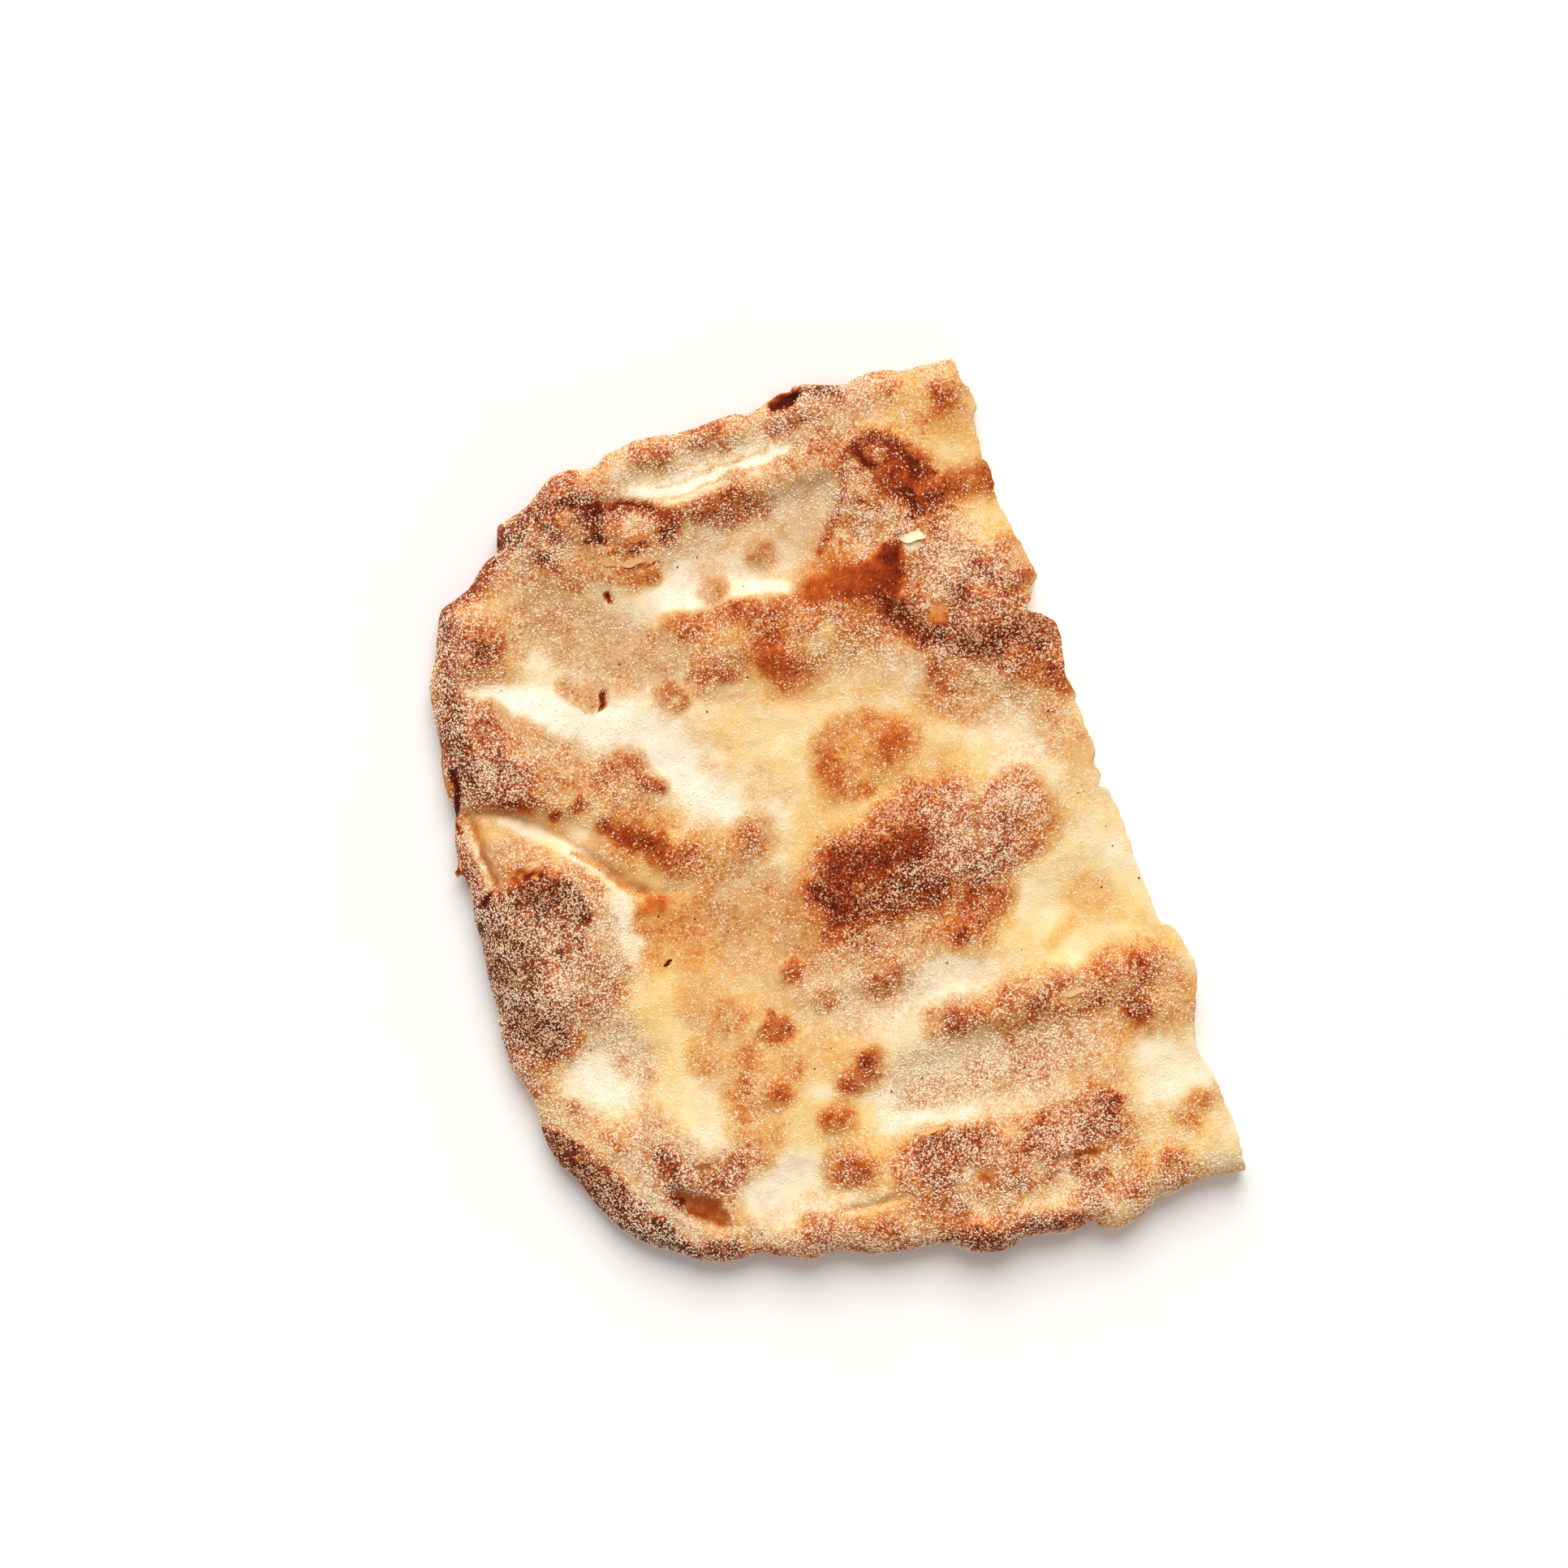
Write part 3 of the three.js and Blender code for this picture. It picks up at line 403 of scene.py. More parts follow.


# Browning is painted with soft brushes, each over the ones before: a stroke of (x, y, radius) in
# mm, the level it paints, from 0 for pale dough to 1 for charred, and how soft its rim is. Some
# strokes paint shade and highlights into the same level, as darker and paler dough.
BASE_TOAST = 0.16
GOLD_LEVEL = 0.36  # the least that dough is browned beside a brown patch
GOLD_WIDTH = (0.9, 4.5)  # how far round it: this share of its radius, and at most this in mm
TOAST_AND_PAINTED_LIGHT_STROKES = [
    # Broad tones of the upper third.
    ([(-38, 99, 6), (-27, 103, 8), (-14, 106, 6), (0, 108, 4), (20, 107, 4), (38, 106, 4.5),
      (50, 105, 4.5)], 0.46, 0.9),
    ([(60, 103, 5), (74, 101, 6)], 0.38, 1),
    ([(-35, 97, 8), (-26, 95, 9), (-15, 97, 9), (-6, 91, 5)], 0.50, 0.8),
    ([(-24, 88, 5), (-14, 85, 6), (-8, 87, 5)], 0.34, 1),
    ([(-62, 86, 5), (-52, 91, 4), (-44, 95, 4)], 0.50, 1),
    ([(-62, 76, 9), (-54, 77, 9)], 0.40, 0.9),
    ([(-68, 66, 6), (-64, 58, 8)], 0.46, 1),
    ([(0, 90, 4), (10, 90, 4), (22, 89, 5), (30, 91, 4)], 0.44, 0.9),
    ([(32, 94, 5), (44, 94, 7), (46, 86, 6)], 0.42, 0.9),
    ([(66, 93, 9), (72, 86, 6), (70, 80, 4)], 0.27, 1),
    ([(46, 82, 6), (42, 76, 6), (36, 71, 5), (30, 69, 4)], 0.48, 0.8),
    ([(60, 72, 7), (68, 72, 6), (76, 72.5, 4.5)], 0.52, 0.7),
    ([(50, 70, 6), (60, 64, 6), (56, 58, 8)], 0.48, 0.9),
    # Broad tones of the middle.
    ([(-8, 66, 3), (0, 63, 5), (12, 59, 7), (24, 57, 8), (36, 55, 8)], 0.50, 0.7),
    ([(-3, 54, 6), (8, 52, 7), (22, 50, 8), (36, 48, 8)], 0.44, 0.8),
    ([(22, 43, 5), (34, 42, 5), (42, 43, 4)], 0.36, 1),
    ([(46, 52, 9), (56, 54, 10), (68, 54, 8)], 0.52, 0.7),
    ([(52, 46, 8), (62, 44, 10), (70, 42, 7), (66, 34, 8), (74, 30, 7), (76, 22, 4)], 0.61, 0.65),
    ([(50, 38, 5), (50, 30, 6), (54, 26, 5)], 0.44, 0.9),
    ([(58, 27, 6), (66, 22, 6)], 0.32, 1),
    ([(73, 14, 5), (71, 6, 4), (77, 0, 3)], 0.32, 1),
    ([(-52, 46, 7), (-50, 38, 6)], 0.42, 0.9),
    ([(-68, 50, 7), (-62, 50, 7), (-59, 42, 6)], 0.62, 0.8),
    ([(-50, 48, 5), (-46, 40, 5), (-45, 33, 5)], 0.38, 1),
    ([(-35, 35, 6.5), (-33, 28, 7.5), (-33, 19, 8)], 0.42, 0.8),
    ([(-27, 12, 6), (-17, 9, 6), (-9, 10, 5)], 0.44, 0.8),
    ([(-68, 26, 5), (-62, 24, 5)], 0.38, 0.9),
    ([(-76, 26, 4), (-76, 34, 3)], 0.52, 0.9),
    ([(-72, 12, 8), (-72, -8, 11), (-63, 8, 12), (-62, -4, 11)], 0.62, 0.6),
    ([(-50, 12, 4), (-48, 2, 5), (-50, -8, 6), (-54, -15, 6)], 0.42, 0.8),
    ([(-72, -20, 8), (-76, -28, 4)], 0.50, 0.8),
    ([(23.6, 19.6, 10.6), (30, 19, 8)], 0.28, 0.7),
    ([(19.4, 20, 6.2), (24.4, 19.4, 7.6), (32.6, 19.6, 5)], 0.43, 0.6),
    ([(14, 6, 8), (30, 9, 6), (44, 10, 5)], 0.24, 1),
    ([(-4, -9, 7), (0, -18, 7)], 0.36, 1),
    ([(11, -9, 9.5), (21, -8, 9.5), (36, -5, 12), (46, -7, 10), (56, -7.5, 8)], 0.60, 0.45),
    ([(8, -20, 8), (22, -21, 8), (36, -21, 9), (36, -28, 5)], 0.48, 0.7),
    ([(66, -10, 6), (71, -6, 5)], 0.24, 1),
    # Broad tones of the lower third.
    ([(-34, -4, 7), (-22, -8, 11), (-12, -14, 10), (-8, -20, 8)], 0.38, 0.9),
    ([(-28, -22, 7), (-20, -26, 9), (-16, -44, 9), (-8, -44, 8)], 0.27, 1),
    ([(-34, -22, 5), (-30, -32, 7), (-34, -42, 7), (-30, -52, 7)], 0.33, 1),
    ([(-44, -24, 5), (-42, -36, 5)], 0.22, 1),
    ([(3, -34, 7), (12, -33, 7), (-6, -33, 5)], 0.27, 1),
    ([(-76, -38, 4), (-70, -46, 7), (-60, -51, 8), (-52, -56, 7)], 0.39, 0.8),
    ([(-56, -62, 7), (-46, -65, 8), (-38, -63, 6)], 0.46, 0.8),
    ([(-62, -72, 4), (-54, -80, 4), (-44, -82, 4)], 0.44, 0.9),
    ([(20, -49, 3.4), (28, -50, 4), (44, -51, 5.4), (58, -53, 6), (70, -53, 7)], 0.44, 0.9),
    ([(64, -61, 8), (72, -62, 7)], 0.40, 0.9),
    ([(54, -58, 6), (58, -66, 6)], 0.34, 1),
    ([(57, -76, 5), (56, -84, 6)], 0.36, 1),
    ([(-8, -58, 7), (-12, -66, 6), (-12, -75, 7)], 0.32, 1),
    ([(4, -78, 6), (16, -81, 7.5), (30, -84, 7.5), (46, -83, 8)], 0.57, 0.7),
    ([(6, -90, 8), (20, -90, 7), (36, -92, 7), (48, -92, 6)], 0.50, 0.9),
    ([(4, -97, 5), (14, -102, 5), (28, -103, 5), (40, -101, 5), (52, -101, 5)], 0.50, 0.8),
    ([(-27, -87, 7), (-14, -91, 5), (-6, -92, 5)], 0.44, 0.8),
    ([(62, -102, 7)], 0.34, 1),
    ([(72, -90, 5), (77, -88, 3)], 0.28, 1),
    # Pale dough in the hollows, with painted shade as tan on their upper slopes, which face away
    # from the light, and painted highlights as the brightest bands on their lower slopes, which face
    # it.
    # Painted shade: tan on the trough's upper slope.
    ([(-8, 101.6, 3), (2, 102, 3), (16, 102, 3.4), (30, 102, 3.4)], 0.27, 0.8),
    ([(2, 99, 3), (16, 99, 3.2), (32, 99, 3)], 0.19, 0.8),
    # Painted highlight: the brightest band, on the trough's lower slope.
    ([(-7, 99.6, 1.6), (2, 97.6, 1.3), (14, 97, 1.2), (26, 97, 1), (34, 97.4, 0.8)], 0.07, 0.8),
    ([(0, 94.4, 1), (12, 94.2, 1), (24, 94, 0.8)], 0.14, 0.8),
    ([(-2, 99, 0.4), (12, 98.9, 0.5), (28, 98.7, 0.4)], 0.32, 0.8),
    ([(2, 95.6, 0.3), (16, 95.7, 0.4), (31, 95.9, 0.3)], 0.32, 0.8),
    # Painted shade: tan on the upper slope of the hollow below.
    ([(6, 82, 8), (20, 82, 10), (34, 82, 8)], 0.25, 0.6),
    ([(4, 76, 5), (20, 73, 6)], 0.20, 0.9),
    # Painted highlight: the brightest band, on that hollow's lower slope.
    ([(-10, 74, 3), (-4, 71, 3), (6, 68.5, 3), (14, 66.6, 2.4), (21, 65, 1.6)], 0.05, 0.6),
    ([(-52, 84, 4), (-46, 77, 4.5), (-44, 68, 4)], 0.15, 0.9),
    # Painted highlight: the brightest band, on the lower slope of the hollow at the upper left.
    ([(-62, 67.4, 1.2), (-54, 64.4, 2), (-47, 60, 4), (-40, 53, 5)], 0.07, 0.6),
    ([(-33, 47, 6), (-24, 46, 5)], 0.12, 0.8),
    # Painted shade: that hollow's tan.
    ([(-42, 84, 4), (-36, 78, 7), (-30, 71, 10), (-23, 63, 10), (-14, 60, 6)], 0.34, 0.35),
    ([(-38, 60, 2), (-34, 56, 2.4)], 0.38, 0.7),
    ([(-36, 79, 5)], 0.38, 0.9),
    ([(-20, 76, 4), (-13, 73, 4)], 0.17, 0.9),
    ([(-19, 40, 5), (-18, 28, 7), (-12, 20, 5)], 0.09, 0.9),
    ([(0, 48, 3.4), (10, 41, 2.6), (24, 37.6, 3), (40, 35, 5), (47, 35, 3)], 0.25, 0.9),
    # Painted shade: tan along the crease by the left rim.
    ([(-69.4, 40, 1.2), (-69.2, 30, 1.2), (-69.6, 21, 1)], 0.36, 0.5),
    ([(-72.8, 37, 1.2), (-72.6, 27, 1.9), (-73.4, 18.6, 1.3)], 0.04, 0.5),
    # Painted shade: a darker line in that crease.
    ([(-70.4, 41, 0.6), (-70.2, 30, 0.6), (-70.8, 20, 0.6)], 0.46, 0.7),
    ([(-66, 32, 3.4), (-61, 26, 4.2), (-54, 21.6, 3.2)], 0.24, 0.6),
    ([(-67, 39, 1.6), (-59, 34.4, 2.4), (-51, 28.6, 3), (-44, 24, 3)], 0.29, 0.6),
    ([(-46, 26, 2.6)], 0.20, 0.9),
    ([(-44, 20, 1.8), (-40, 14, 2.8), (-36, 9, 2.4)], 0.37, 0.8),
    ([(-36, 13, 2), (-33, 7, 2), (-28, 4, 2)], 0.24, 0.9),
    # Pale dough on the flank of the big bubble, palest along its edge, partly as a painted highlight
    # where the flank faces the light.
    ([(-64.6, 35, 1.3), (-57, 29.4, 1.8), (-51, 23.6, 1.7), (-46.8, 18, 1.7), (-43.8, 11.6, 1.6),
      (-43, 4, 1.6), (-43.4, -4, 1.6)], 0.07, 0.7),
    # Painted shade: brown in the crease at the foot of that flank.
    ([(-45, 20.6, 1.6), (-41.6, 14.6, 2.2), (-39, 10.6, 1.8)], 0.36, 0.9),
    ([(-49.6, 22.4, 0.4), (-45, 16.8, 0.7), (-41.6, 11, 0.8), (-39, 7.6, 0.6)], 0.42, 0.9),
    # The white dent at the lower left: brightest on its lower left, which faces the light, as a
    # painted highlight, and tan on its right as painted shade.
    ([(-64, -31, 7.4), (-60, -37, 6.4)], 0.08, 0.9),
    ([(-55.6, -23, 5.6), (-53.6, -30, 5), (-52.4, -36, 3.4)], 0.31, 0.6),
    ([(-47, -16, 4), (-44, -30, 4), (-44, -46, 5), (-42, -56, 4)], 0.14, 0.9),
    # Painted shade: tan on the upper slope of the long hollow below the middle.
    ([(8, -62, 4), (22, -61, 6), (38, -62, 7.6), (50, -64, 5)], 0.42, 0.7),
    # Painted highlight: the brightest band, on its lower slope.
    ([(0, -67, 3), (10, -70, 2.6), (20, -71.4, 2.2)], 0.12, 0.9),
    ([(24, -72, 2.2), (44, -73.4, 2.2)], 0.27, 0.9),
    ([(8, -57, 4), (30, -56, 3.6)], 0.26, 0.9),
    ([(-35, -73, 4.5), (-26, -74, 5), (-22, -70, 4)], 0.10, 0.7),
    ([(-34, -80, 3), (-24, -79, 3), (-12, -81.6, 2.4)], 0.17, 0.8),
    ([(-17, -84.6, 1.4), (-6, -85.4, 1.4)], 0.24, 0.7),
    ([(-12, -56, 4), (2, -60.6, 3), (-4, -64, 3)], 0.12, 0.9),
    ([(50, -36, 7), (62, -38, 5), (72, -40, 5)], 0.13, 0.9),
    ([(64, -31, 7)], 0.29, 0.9),
    ([(53, -27, 4), (57, -42, 5)], 0.07, 0.9),
    ([(73, -22, 4), (77, -34, 3)], 0.08, 0.9),
    ([(75, -42, 2.4), (71, -39, 1.6)], 0.22, 0.9),
    ([(56, -24, 4), (68, -21, 3)], 0.16, 0.9),
    ([(74, -76, 6), (66, -74, 5), (64, -82, 5), (76, -82, 3)], 0.09, 0.8),
    ([(64, -94, 6), (72, -98, 6)], 0.19, 0.9),
    ([(48, -107.5, 3.4)], 0.18, 0.8),
    ([(-37, -84, 3)], 0.18, 0.8),
    ([(73, 64, 5)], 0.17, 0.9),
    ([(70, 83, 3)], 0.20, 0.9),
    # The top rim and the ridge at the upper left.
    ([(-35, 99, 3)], 0.66, 0.7),
    ([(-40.6, 99.6, 1.2), (-39.8, 102.4, 1.6)], 0.66, 0.7),
    ([(-38, 103.4, 1)], 0.60, 0.7),
    ([(-37, 100, 2.4), (-31, 103, 2.4)], 0.82, 0.7),
    ([(-60, 88.2, 2.2), (-52, 91, 2.2), (-46, 94.8, 2.2), (-41, 98.5, 2)], 0.72, 0.8),
    ([(-30, 105.6, 3), (-25, 106.6, 3.4), (-20, 107.5, 3.6)], 0.66, 0.8),
    ([(-17.6, 105.6, 1.8), (-16, 103, 1.6)], 0.52, 0.8),
    ([(-29, 103.6, 1.4), (-23, 102.4, 1.8), (-18.4, 99.6, 2.8), (-16, 97, 2.6)], 0.90, 0.9),
    ([(-20.4, 99, 1.6), (-18.8, 96, 2.2), (-17.8, 93, 1.6)], 0.86, 0.8),
    ([(-20, 101.6, 0.6), (-15, 98.2, 0.8), (-9, 97.2, 0.6), (-3, 94.2, 0.6)], 0.98, 0.6),
    ([(-20.4, 92.6, 0.9), (-16.6, 91, 1)], 0.95, 0.6),
    ([(-12, 93.4, 2)], 0.54, 0.8),
    ([(-13.6, 95.6, 1.2), (-8, 95, 1.2), (-4, 93, 1.3), (0, 91.4, 1.5)], 0.70, 0.8),
    ([(-12, 100.4, 2.4)], 0.46, 0.8),
    ([(-28, 98.6, 2.4), (-27.6, 96, 1.8)], 0.76, 0.7),
    ([(-33, 96, 2)], 0.52, 0.8),
    ([(-24.6, 95, 1.6)], 0.46, 0.8),
    ([(-33.4, 92.2, 2.2)], 0.82, 0.6),
    ([(-31, 89, 1.8)], 0.60, 0.8),
    ([(-38, 92, 3)], 0.42, 0.8),
    ([(0.6, 89.6, 2), (-2, 87.6, 2.2)], 0.78, 0.7),
    ([(-12.6, 87.4, 2.2), (-8, 88, 2.2)], 0.60, 0.8),
    ([(-24, 87.6, 3), (-17, 86, 2)], 0.42, 0.8),
    ([(-16.6, 81.6, 1.4), (-12.6, 80, 1.8), (-8.6, 79, 1.4)], 0.52, 0.9),
    ([(-20, 82.6, 1.6)], 0.46, 0.8),
    ([(-28.6, 82.6, 2.2)], 0.50, 0.8),
    ([(-16, 62, 3)], 0.38, 0.9),
    ([(-14, 109, 2.4), (-9, 108, 3)], 0.36, 0.9),
    ([(-8, 105, 3)], 0.24, 0.9),
    ([(-4, 109.6, 2), (2, 106.4, 2.8)], 0.52, 0.7),
    ([(13, 107, 2.6), (18.6, 106, 3)], 0.56, 0.8),
    ([(24, 108, 3)], 0.52, 0.8),
    ([(32.4, 103.6, 2.8), (38, 104.6, 3)], 0.64, 0.8),
    ([(41.6, 108.4, 1.6), (46, 107.6, 1.8), (50, 105.4, 1.6)], 0.84, 0.7),
    ([(54, 106.4, 2.4), (60, 106.6, 2.6)], 0.40, 0.8),
    ([(62, 102, 3)], 0.46, 0.8),
    ([(2, 91.4, 1.6), (10, 91.2, 1.8), (19, 91, 1.5)], 0.64, 0.7),
    ([(8.6, 88, 2.2), (21, 87, 3)], 0.56, 0.8),
    ([(18.6, 94.4, 1.6)], 0.42, 0.8),
    ([(43, 95, 4)], 0.52, 0.8),
    ([(72, 93.6, 4.4), (73, 97, 3.6)], 0.46, 0.9),
    ([(72.4, 96.4, 2.6), (76, 95.4, 1.8)], 0.62, 0.9),
    ([(69, 93.6, 1.4)], 0.56, 0.9),
    ([(72, 88.6, 3)], 0.36, 0.9),
    ([(66, 97, 3)], 0.32, 0.9),
    # The bump at the upper left and the rim round the rounded end.
    ([(-55, 77, 6)], 0.52, 0.9),
    ([(-55, 77.6, 3.4), (-51.6, 75.4, 3)], 0.74, 0.9),
    ([(-54, 75.6, 1.8)], 0.84, 0.8),
    ([(-61, 84, 3), (-64, 78, 3.4), (-66, 72, 2.6)], 0.68, 0.8),
    ([(-46.6, 81, 1.8), (-46, 73, 2)], 0.36, 0.8),
    ([(-67, 64, 4), (-68, 56, 4), (-69, 48, 3)], 0.80, 0.6),
    ([(-59, 58, 2.4)], 0.66, 0.8),
    ([(-62, 51, 3)], 0.60, 0.9),
    ([(-56.6, 43.6, 2.6), (-60, 48, 3)], 0.74, 0.8),
    ([(-66, 42.6, 3), (-58, 37.6, 2.4)], 0.70, 0.8),
    ([(-52, 45, 2)], 0.48, 0.9),
    ([(-50.8, 31.4, 1.4)], 0.70, 0.7),
    ([(-44.4, 32.4, 1.8)], 0.74, 0.7),
    ([(-47, 41, 2.4)], 0.42, 0.9),
    ([(-76.4, 33, 1.8), (-76.6, 27, 1.8), (-76.4, 21, 1.6)], 0.66, 0.7),
    # Painted shade: near-black lines in the gaps between the layers of the rim, along the creases
    # there.
    ([(-71.4, 50.4, 0.7), (-72, 45, 0.9), (-74.6, 41, 1)], 1.0, 0.4),
    ([(-75.2, 38.6, 0.6), (-74, 35.4, 0.5)], 0.98, 0.4),
    ([(-74.6, 16.4, 0.5), (-72.4, 19.4, 0.6)], 0.96, 0.4),
    ([(-74, 53, 1), (-74.6, 47, 1)], 0.30, 0.6),
    # The big bubble at the rounded end.
    ([(-66, 15, 4.4), (-60, 14, 5.4), (-55, 12, 4.8), (-54, 8, 3.4)], 1.0, 0.6),
    ([(-52, 17, 2), (-50, 13, 1.8), (-49.4, 8, 1.8)], 0.46, 0.8),
    ([(-66, 6, 4), (-60, 4.6, 4)], 0.70, 0.8),
    ([(-64.6, 0, 3.6)], 0.56, 0.9),
    ([(-75, 14, 5), (-75, 2, 7.6), (-75, -10, 8.6), (-71, -18, 6)], 0.98, 0.5),
    ([(-60, -5, 4), (-59, -12, 4)], 0.50, 0.9),
    ([(-48.6, 3, 3.4), (-49, -6, 3.4)], 0.36, 0.9),
    # The pale edge of the bubble's flank, partly a painted highlight where it faces the light.
    ([(-45.6, 8, 1.4), (-44.6, 1, 1.6), (-45.4, -7, 1.6)], 0.12, 0.8),
    ([(-61.2, 0.6, 0.7), (-60.8, -3, 0.6)], 0.88, 0.7),
    ([(-66, -12, 4)], 0.76, 0.8),
    ([(-53, -12.6, 3), (-57, -16, 3)], 0.50, 0.8),
    ([(-66, 22, 1.4), (-64, 21.4, 1.6), (-61, 20.8, 1.4), (-57, 20.6, 1.4)], 0.58, 0.5),
    # Patches left of the middle.
    ([(-35, 37, 3), (-30, 36, 3)], 0.54, 0.9),
    ([(-33, 33, 4)], 0.42, 0.9),
    ([(-28, 31.4, 1.8), (-25.6, 29.4, 2)], 0.66, 0.7),
    ([(-40, 24, 2.2), (-37, 21, 2.6), (-33, 18, 3.6), (-29.4, 14.6, 3)], 0.62, 0.8),
    ([(-38, 20.6, 1.8), (-33.4, 18, 2.4), (-31, 16, 1.6)], 0.78, 0.8),
    ([(-34, 28, 3)], 0.44, 0.8),
    ([(-26, 17.4, 1.4), (-22, 18, 1.6)], 0.24, 0.8),
    ([(-24, 11, 3)], 0.54, 0.9),
    ([(-8, 11, 2.4)], 0.54, 0.9),
    ([(-14.8, 49, 4)], 0.32, 0.7),
    ([(-15, 50.4, 2.2), (-13.4, 48, 2)], 0.50, 0.8),
    ([(-14.4, 48.4, 1.1)], 0.26, 0.8),
    ([(-40, 1.8, 1.6), (-37, 2.2, 2.6), (-34.6, 2.6, 1.6)], 0.60, 0.9),
    ([(-41.6, -1.4, 1.1), (-38, -3.8, 1.3), (-33, -2.6, 1)], 0.42, 0.9),
    ([(-18, -2.6, 3)], 0.38, 0.9),
    ([(-5, 36.6, 4)], 0.24, 0.9),
    ([(-1.6, 27, 1.6), (-3, 20, 1.6)], 0.25, 0.9),
    ([(0, 24, 4), (3, 17, 3)], 0.22, 0.9),
    ([(-12, 31, 2.4)], 0.22, 0.9),
    ([(-65, 27, 2.6), (-59, 22.6, 2.8)], 0.42, 0.8),
    ([(-37, -11.6, 0.6)], 0.80, 0.6),
    # The ring.
    ([(16, 24.6, 1.8), (15, 20, 2.2), (17.6, 15, 2.2), (22, 12.4, 2)], 0.54, 0.9),
    ([(15, 26, 1.8), (21, 28, 1.8), (29, 26.6, 2)], 0.44, 0.8),
    ([(33.2, 19.4, 3.8)], 0.56, 0.7),
    ([(34, 20, 2)], 0.60, 0.9),
    ([(25, 21, 3.4)], 0.38, 0.9),
    # The band across, right of the middle.
    ([(-6.6, 65.4, 2.6), (-3, 63.6, 2)], 0.56, 0.8),
    ([(4, 62, 2.2), (10, 60, 3)], 0.60, 0.7),
    ([(16, 58, 3.4), (12, 55, 3.4)], 0.66, 0.7),
    ([(4.6, 57, 3)], 0.34, 0.9),
    ([(-3.4, 53.4, 2.6), (1, 51, 2)], 0.56, 0.8),
    ([(11, 49.4, 3.4), (14.6, 46.6, 4.4)], 0.66, 0.5),
    ([(13, 44, 3), (18, 44, 3)], 0.58, 0.7),
    ([(22, 54, 3.4), (30, 55, 4)], 0.56, 0.8),
    ([(23, 49.4, 2.4), (27, 51.6, 2)], 0.28, 0.8),
    ([(22, 45.6, 2), (27, 47, 2.2)], 0.50, 0.8),
    ([(35, 50.6, 3.4)], 0.54, 0.8),
    ([(27, 62.2, 3), (31, 61.6, 3.8), (38, 61, 4)], 0.68, 0.8),
    ([(31, 66.4, 2)], 0.44, 0.7),
    ([(33, 58.6, 1.2), (38, 58.4, 1.4)], 0.78, 0.8),
    ([(40, 60.4, 3.2), (45, 61, 3.6)], 0.76, 0.8),
    ([(45, 57, 2.6), (47.4, 59.6, 3), (48.6, 63, 2.6), (49.6, 66, 1.6)], 0.85, 0.5),
    ([(45, 61.6, 1.6)], 0.72, 0.8),
    ([(41, 55, 3), (44, 51, 3), (46.4, 47, 3.4), (49.6, 41.6, 3)], 0.81, 0.7),
    # The long dark fold at the upper right.
    ([(47, 90.6, 2), (52, 90.6, 3.6), (56, 87, 4), (59.6, 82.4, 4)], 0.74, 0.5),
    ([(55, 84, 4.6), (54, 80, 4), (58, 76, 5)], 0.72, 0.5),
    ([(60, 80.6, 2.6), (64.4, 79.4, 1)], 0.80, 0.5),
    ([(57, 82, 3), (56, 77.6, 3.4)], 0.80, 0.7),
    ([(59, 76, 4.4)], 0.84, 0.5),
    ([(61, 74.4, 4.4), (66, 74.4, 3.6), (71, 74, 3)], 0.64, 0.5),
    ([(72, 74, 2.8), (78, 74, 2.4)], 0.58, 0.6),
    ([(48.4, 91.6, 1.5), (49.2, 87.8, 1.4), (50.4, 84.6, 1.2)], 0.94, 0.6),
    ([(53, 92.4, 1.4), (57.6, 87.4, 1.4), (60.4, 83, 1.4)], 0.86, 0.7),
    ([(56.8, 76.4, 1.8), (56.8, 71.8, 1.8)], 0.97, 0.6),
    ([(61.4, 73, 2.2), (64.6, 71.4, 1.2)], 0.90, 0.8),
    ([(52.8, 87.4, 2)], 0.62, 0.8),
    ([(57, 80.6, 1.6)], 0.70, 0.9),
    ([(64, 69.4, 2.6), (60, 67.4, 2)], 0.58, 0.7),
    ([(45, 86, 2.4), (44, 80, 3), (48, 74, 3.6), (53, 73, 2.4)], 0.46, 0.8),
    ([(44.4, 90, 1), (42.4, 82, 1.1), (38, 76, 1.2), (31, 71, 1.2)], 0.60, 0.7),
    ([(45, 79.4, 0.9), (49, 74.6, 0.9)], 0.64, 0.7),
    ([(40, 71, 3), (45, 69, 2.4)], 0.44, 0.8),
    # The crumpled blister on the cut.
    ([(53, 60, 3), (58, 56, 4), (66, 52, 5), (72, 48, 4)], 0.54, 0.8),
    ([(59.6, 51, 2), (60.6, 46, 2.4)], 0.78, 0.8),
    ([(66, 55, 1.6), (70, 50, 1.8)], 0.74, 0.8),
    ([(62.6, 60, 3)], 0.46, 0.9),
    ([(55.6, 52, 2)], 0.50, 0.8),
    ([(53, 44.4, 2), (54, 48.4, 1.8)], 0.50, 0.5),
    ([(53, 40.4, 2.4), (58, 38.6, 3.4), (64, 37, 4.4), (70, 36, 3.6)], 0.84, 0.6),
    ([(68, 43.6, 3)], 0.66, 0.8),
    ([(73.6, 54.6, 2)], 0.56, 0.8),
    ([(76.6, 47.6, 2.4)], 0.60, 0.8),
    ([(66, 32, 3.4), (71, 31, 3)], 0.80, 0.8),
    ([(74, 31, 3.4), (76.6, 35.4, 2.4)], 0.80, 0.8),
    ([(67, 28.6, 3.6), (76, 23, 3), (77, 19.6, 2.4)], 0.60, 0.8),
    ([(50.6, 35.4, 2.4), (48, 31, 2.4)], 0.58, 0.8),
    ([(52, 27, 2.6)], 0.52, 0.8),
    ([(57, 31, 3)], 0.40, 0.9),
    ([(71, 14, 2.8)], 0.44, 0.9),
    ([(76, 6, 2)], 0.36, 0.9),
    # The big blister.
    ([(10, -2, 3.4), (18, 0, 3), (27, 3, 3.4)], 0.64, 0.7),
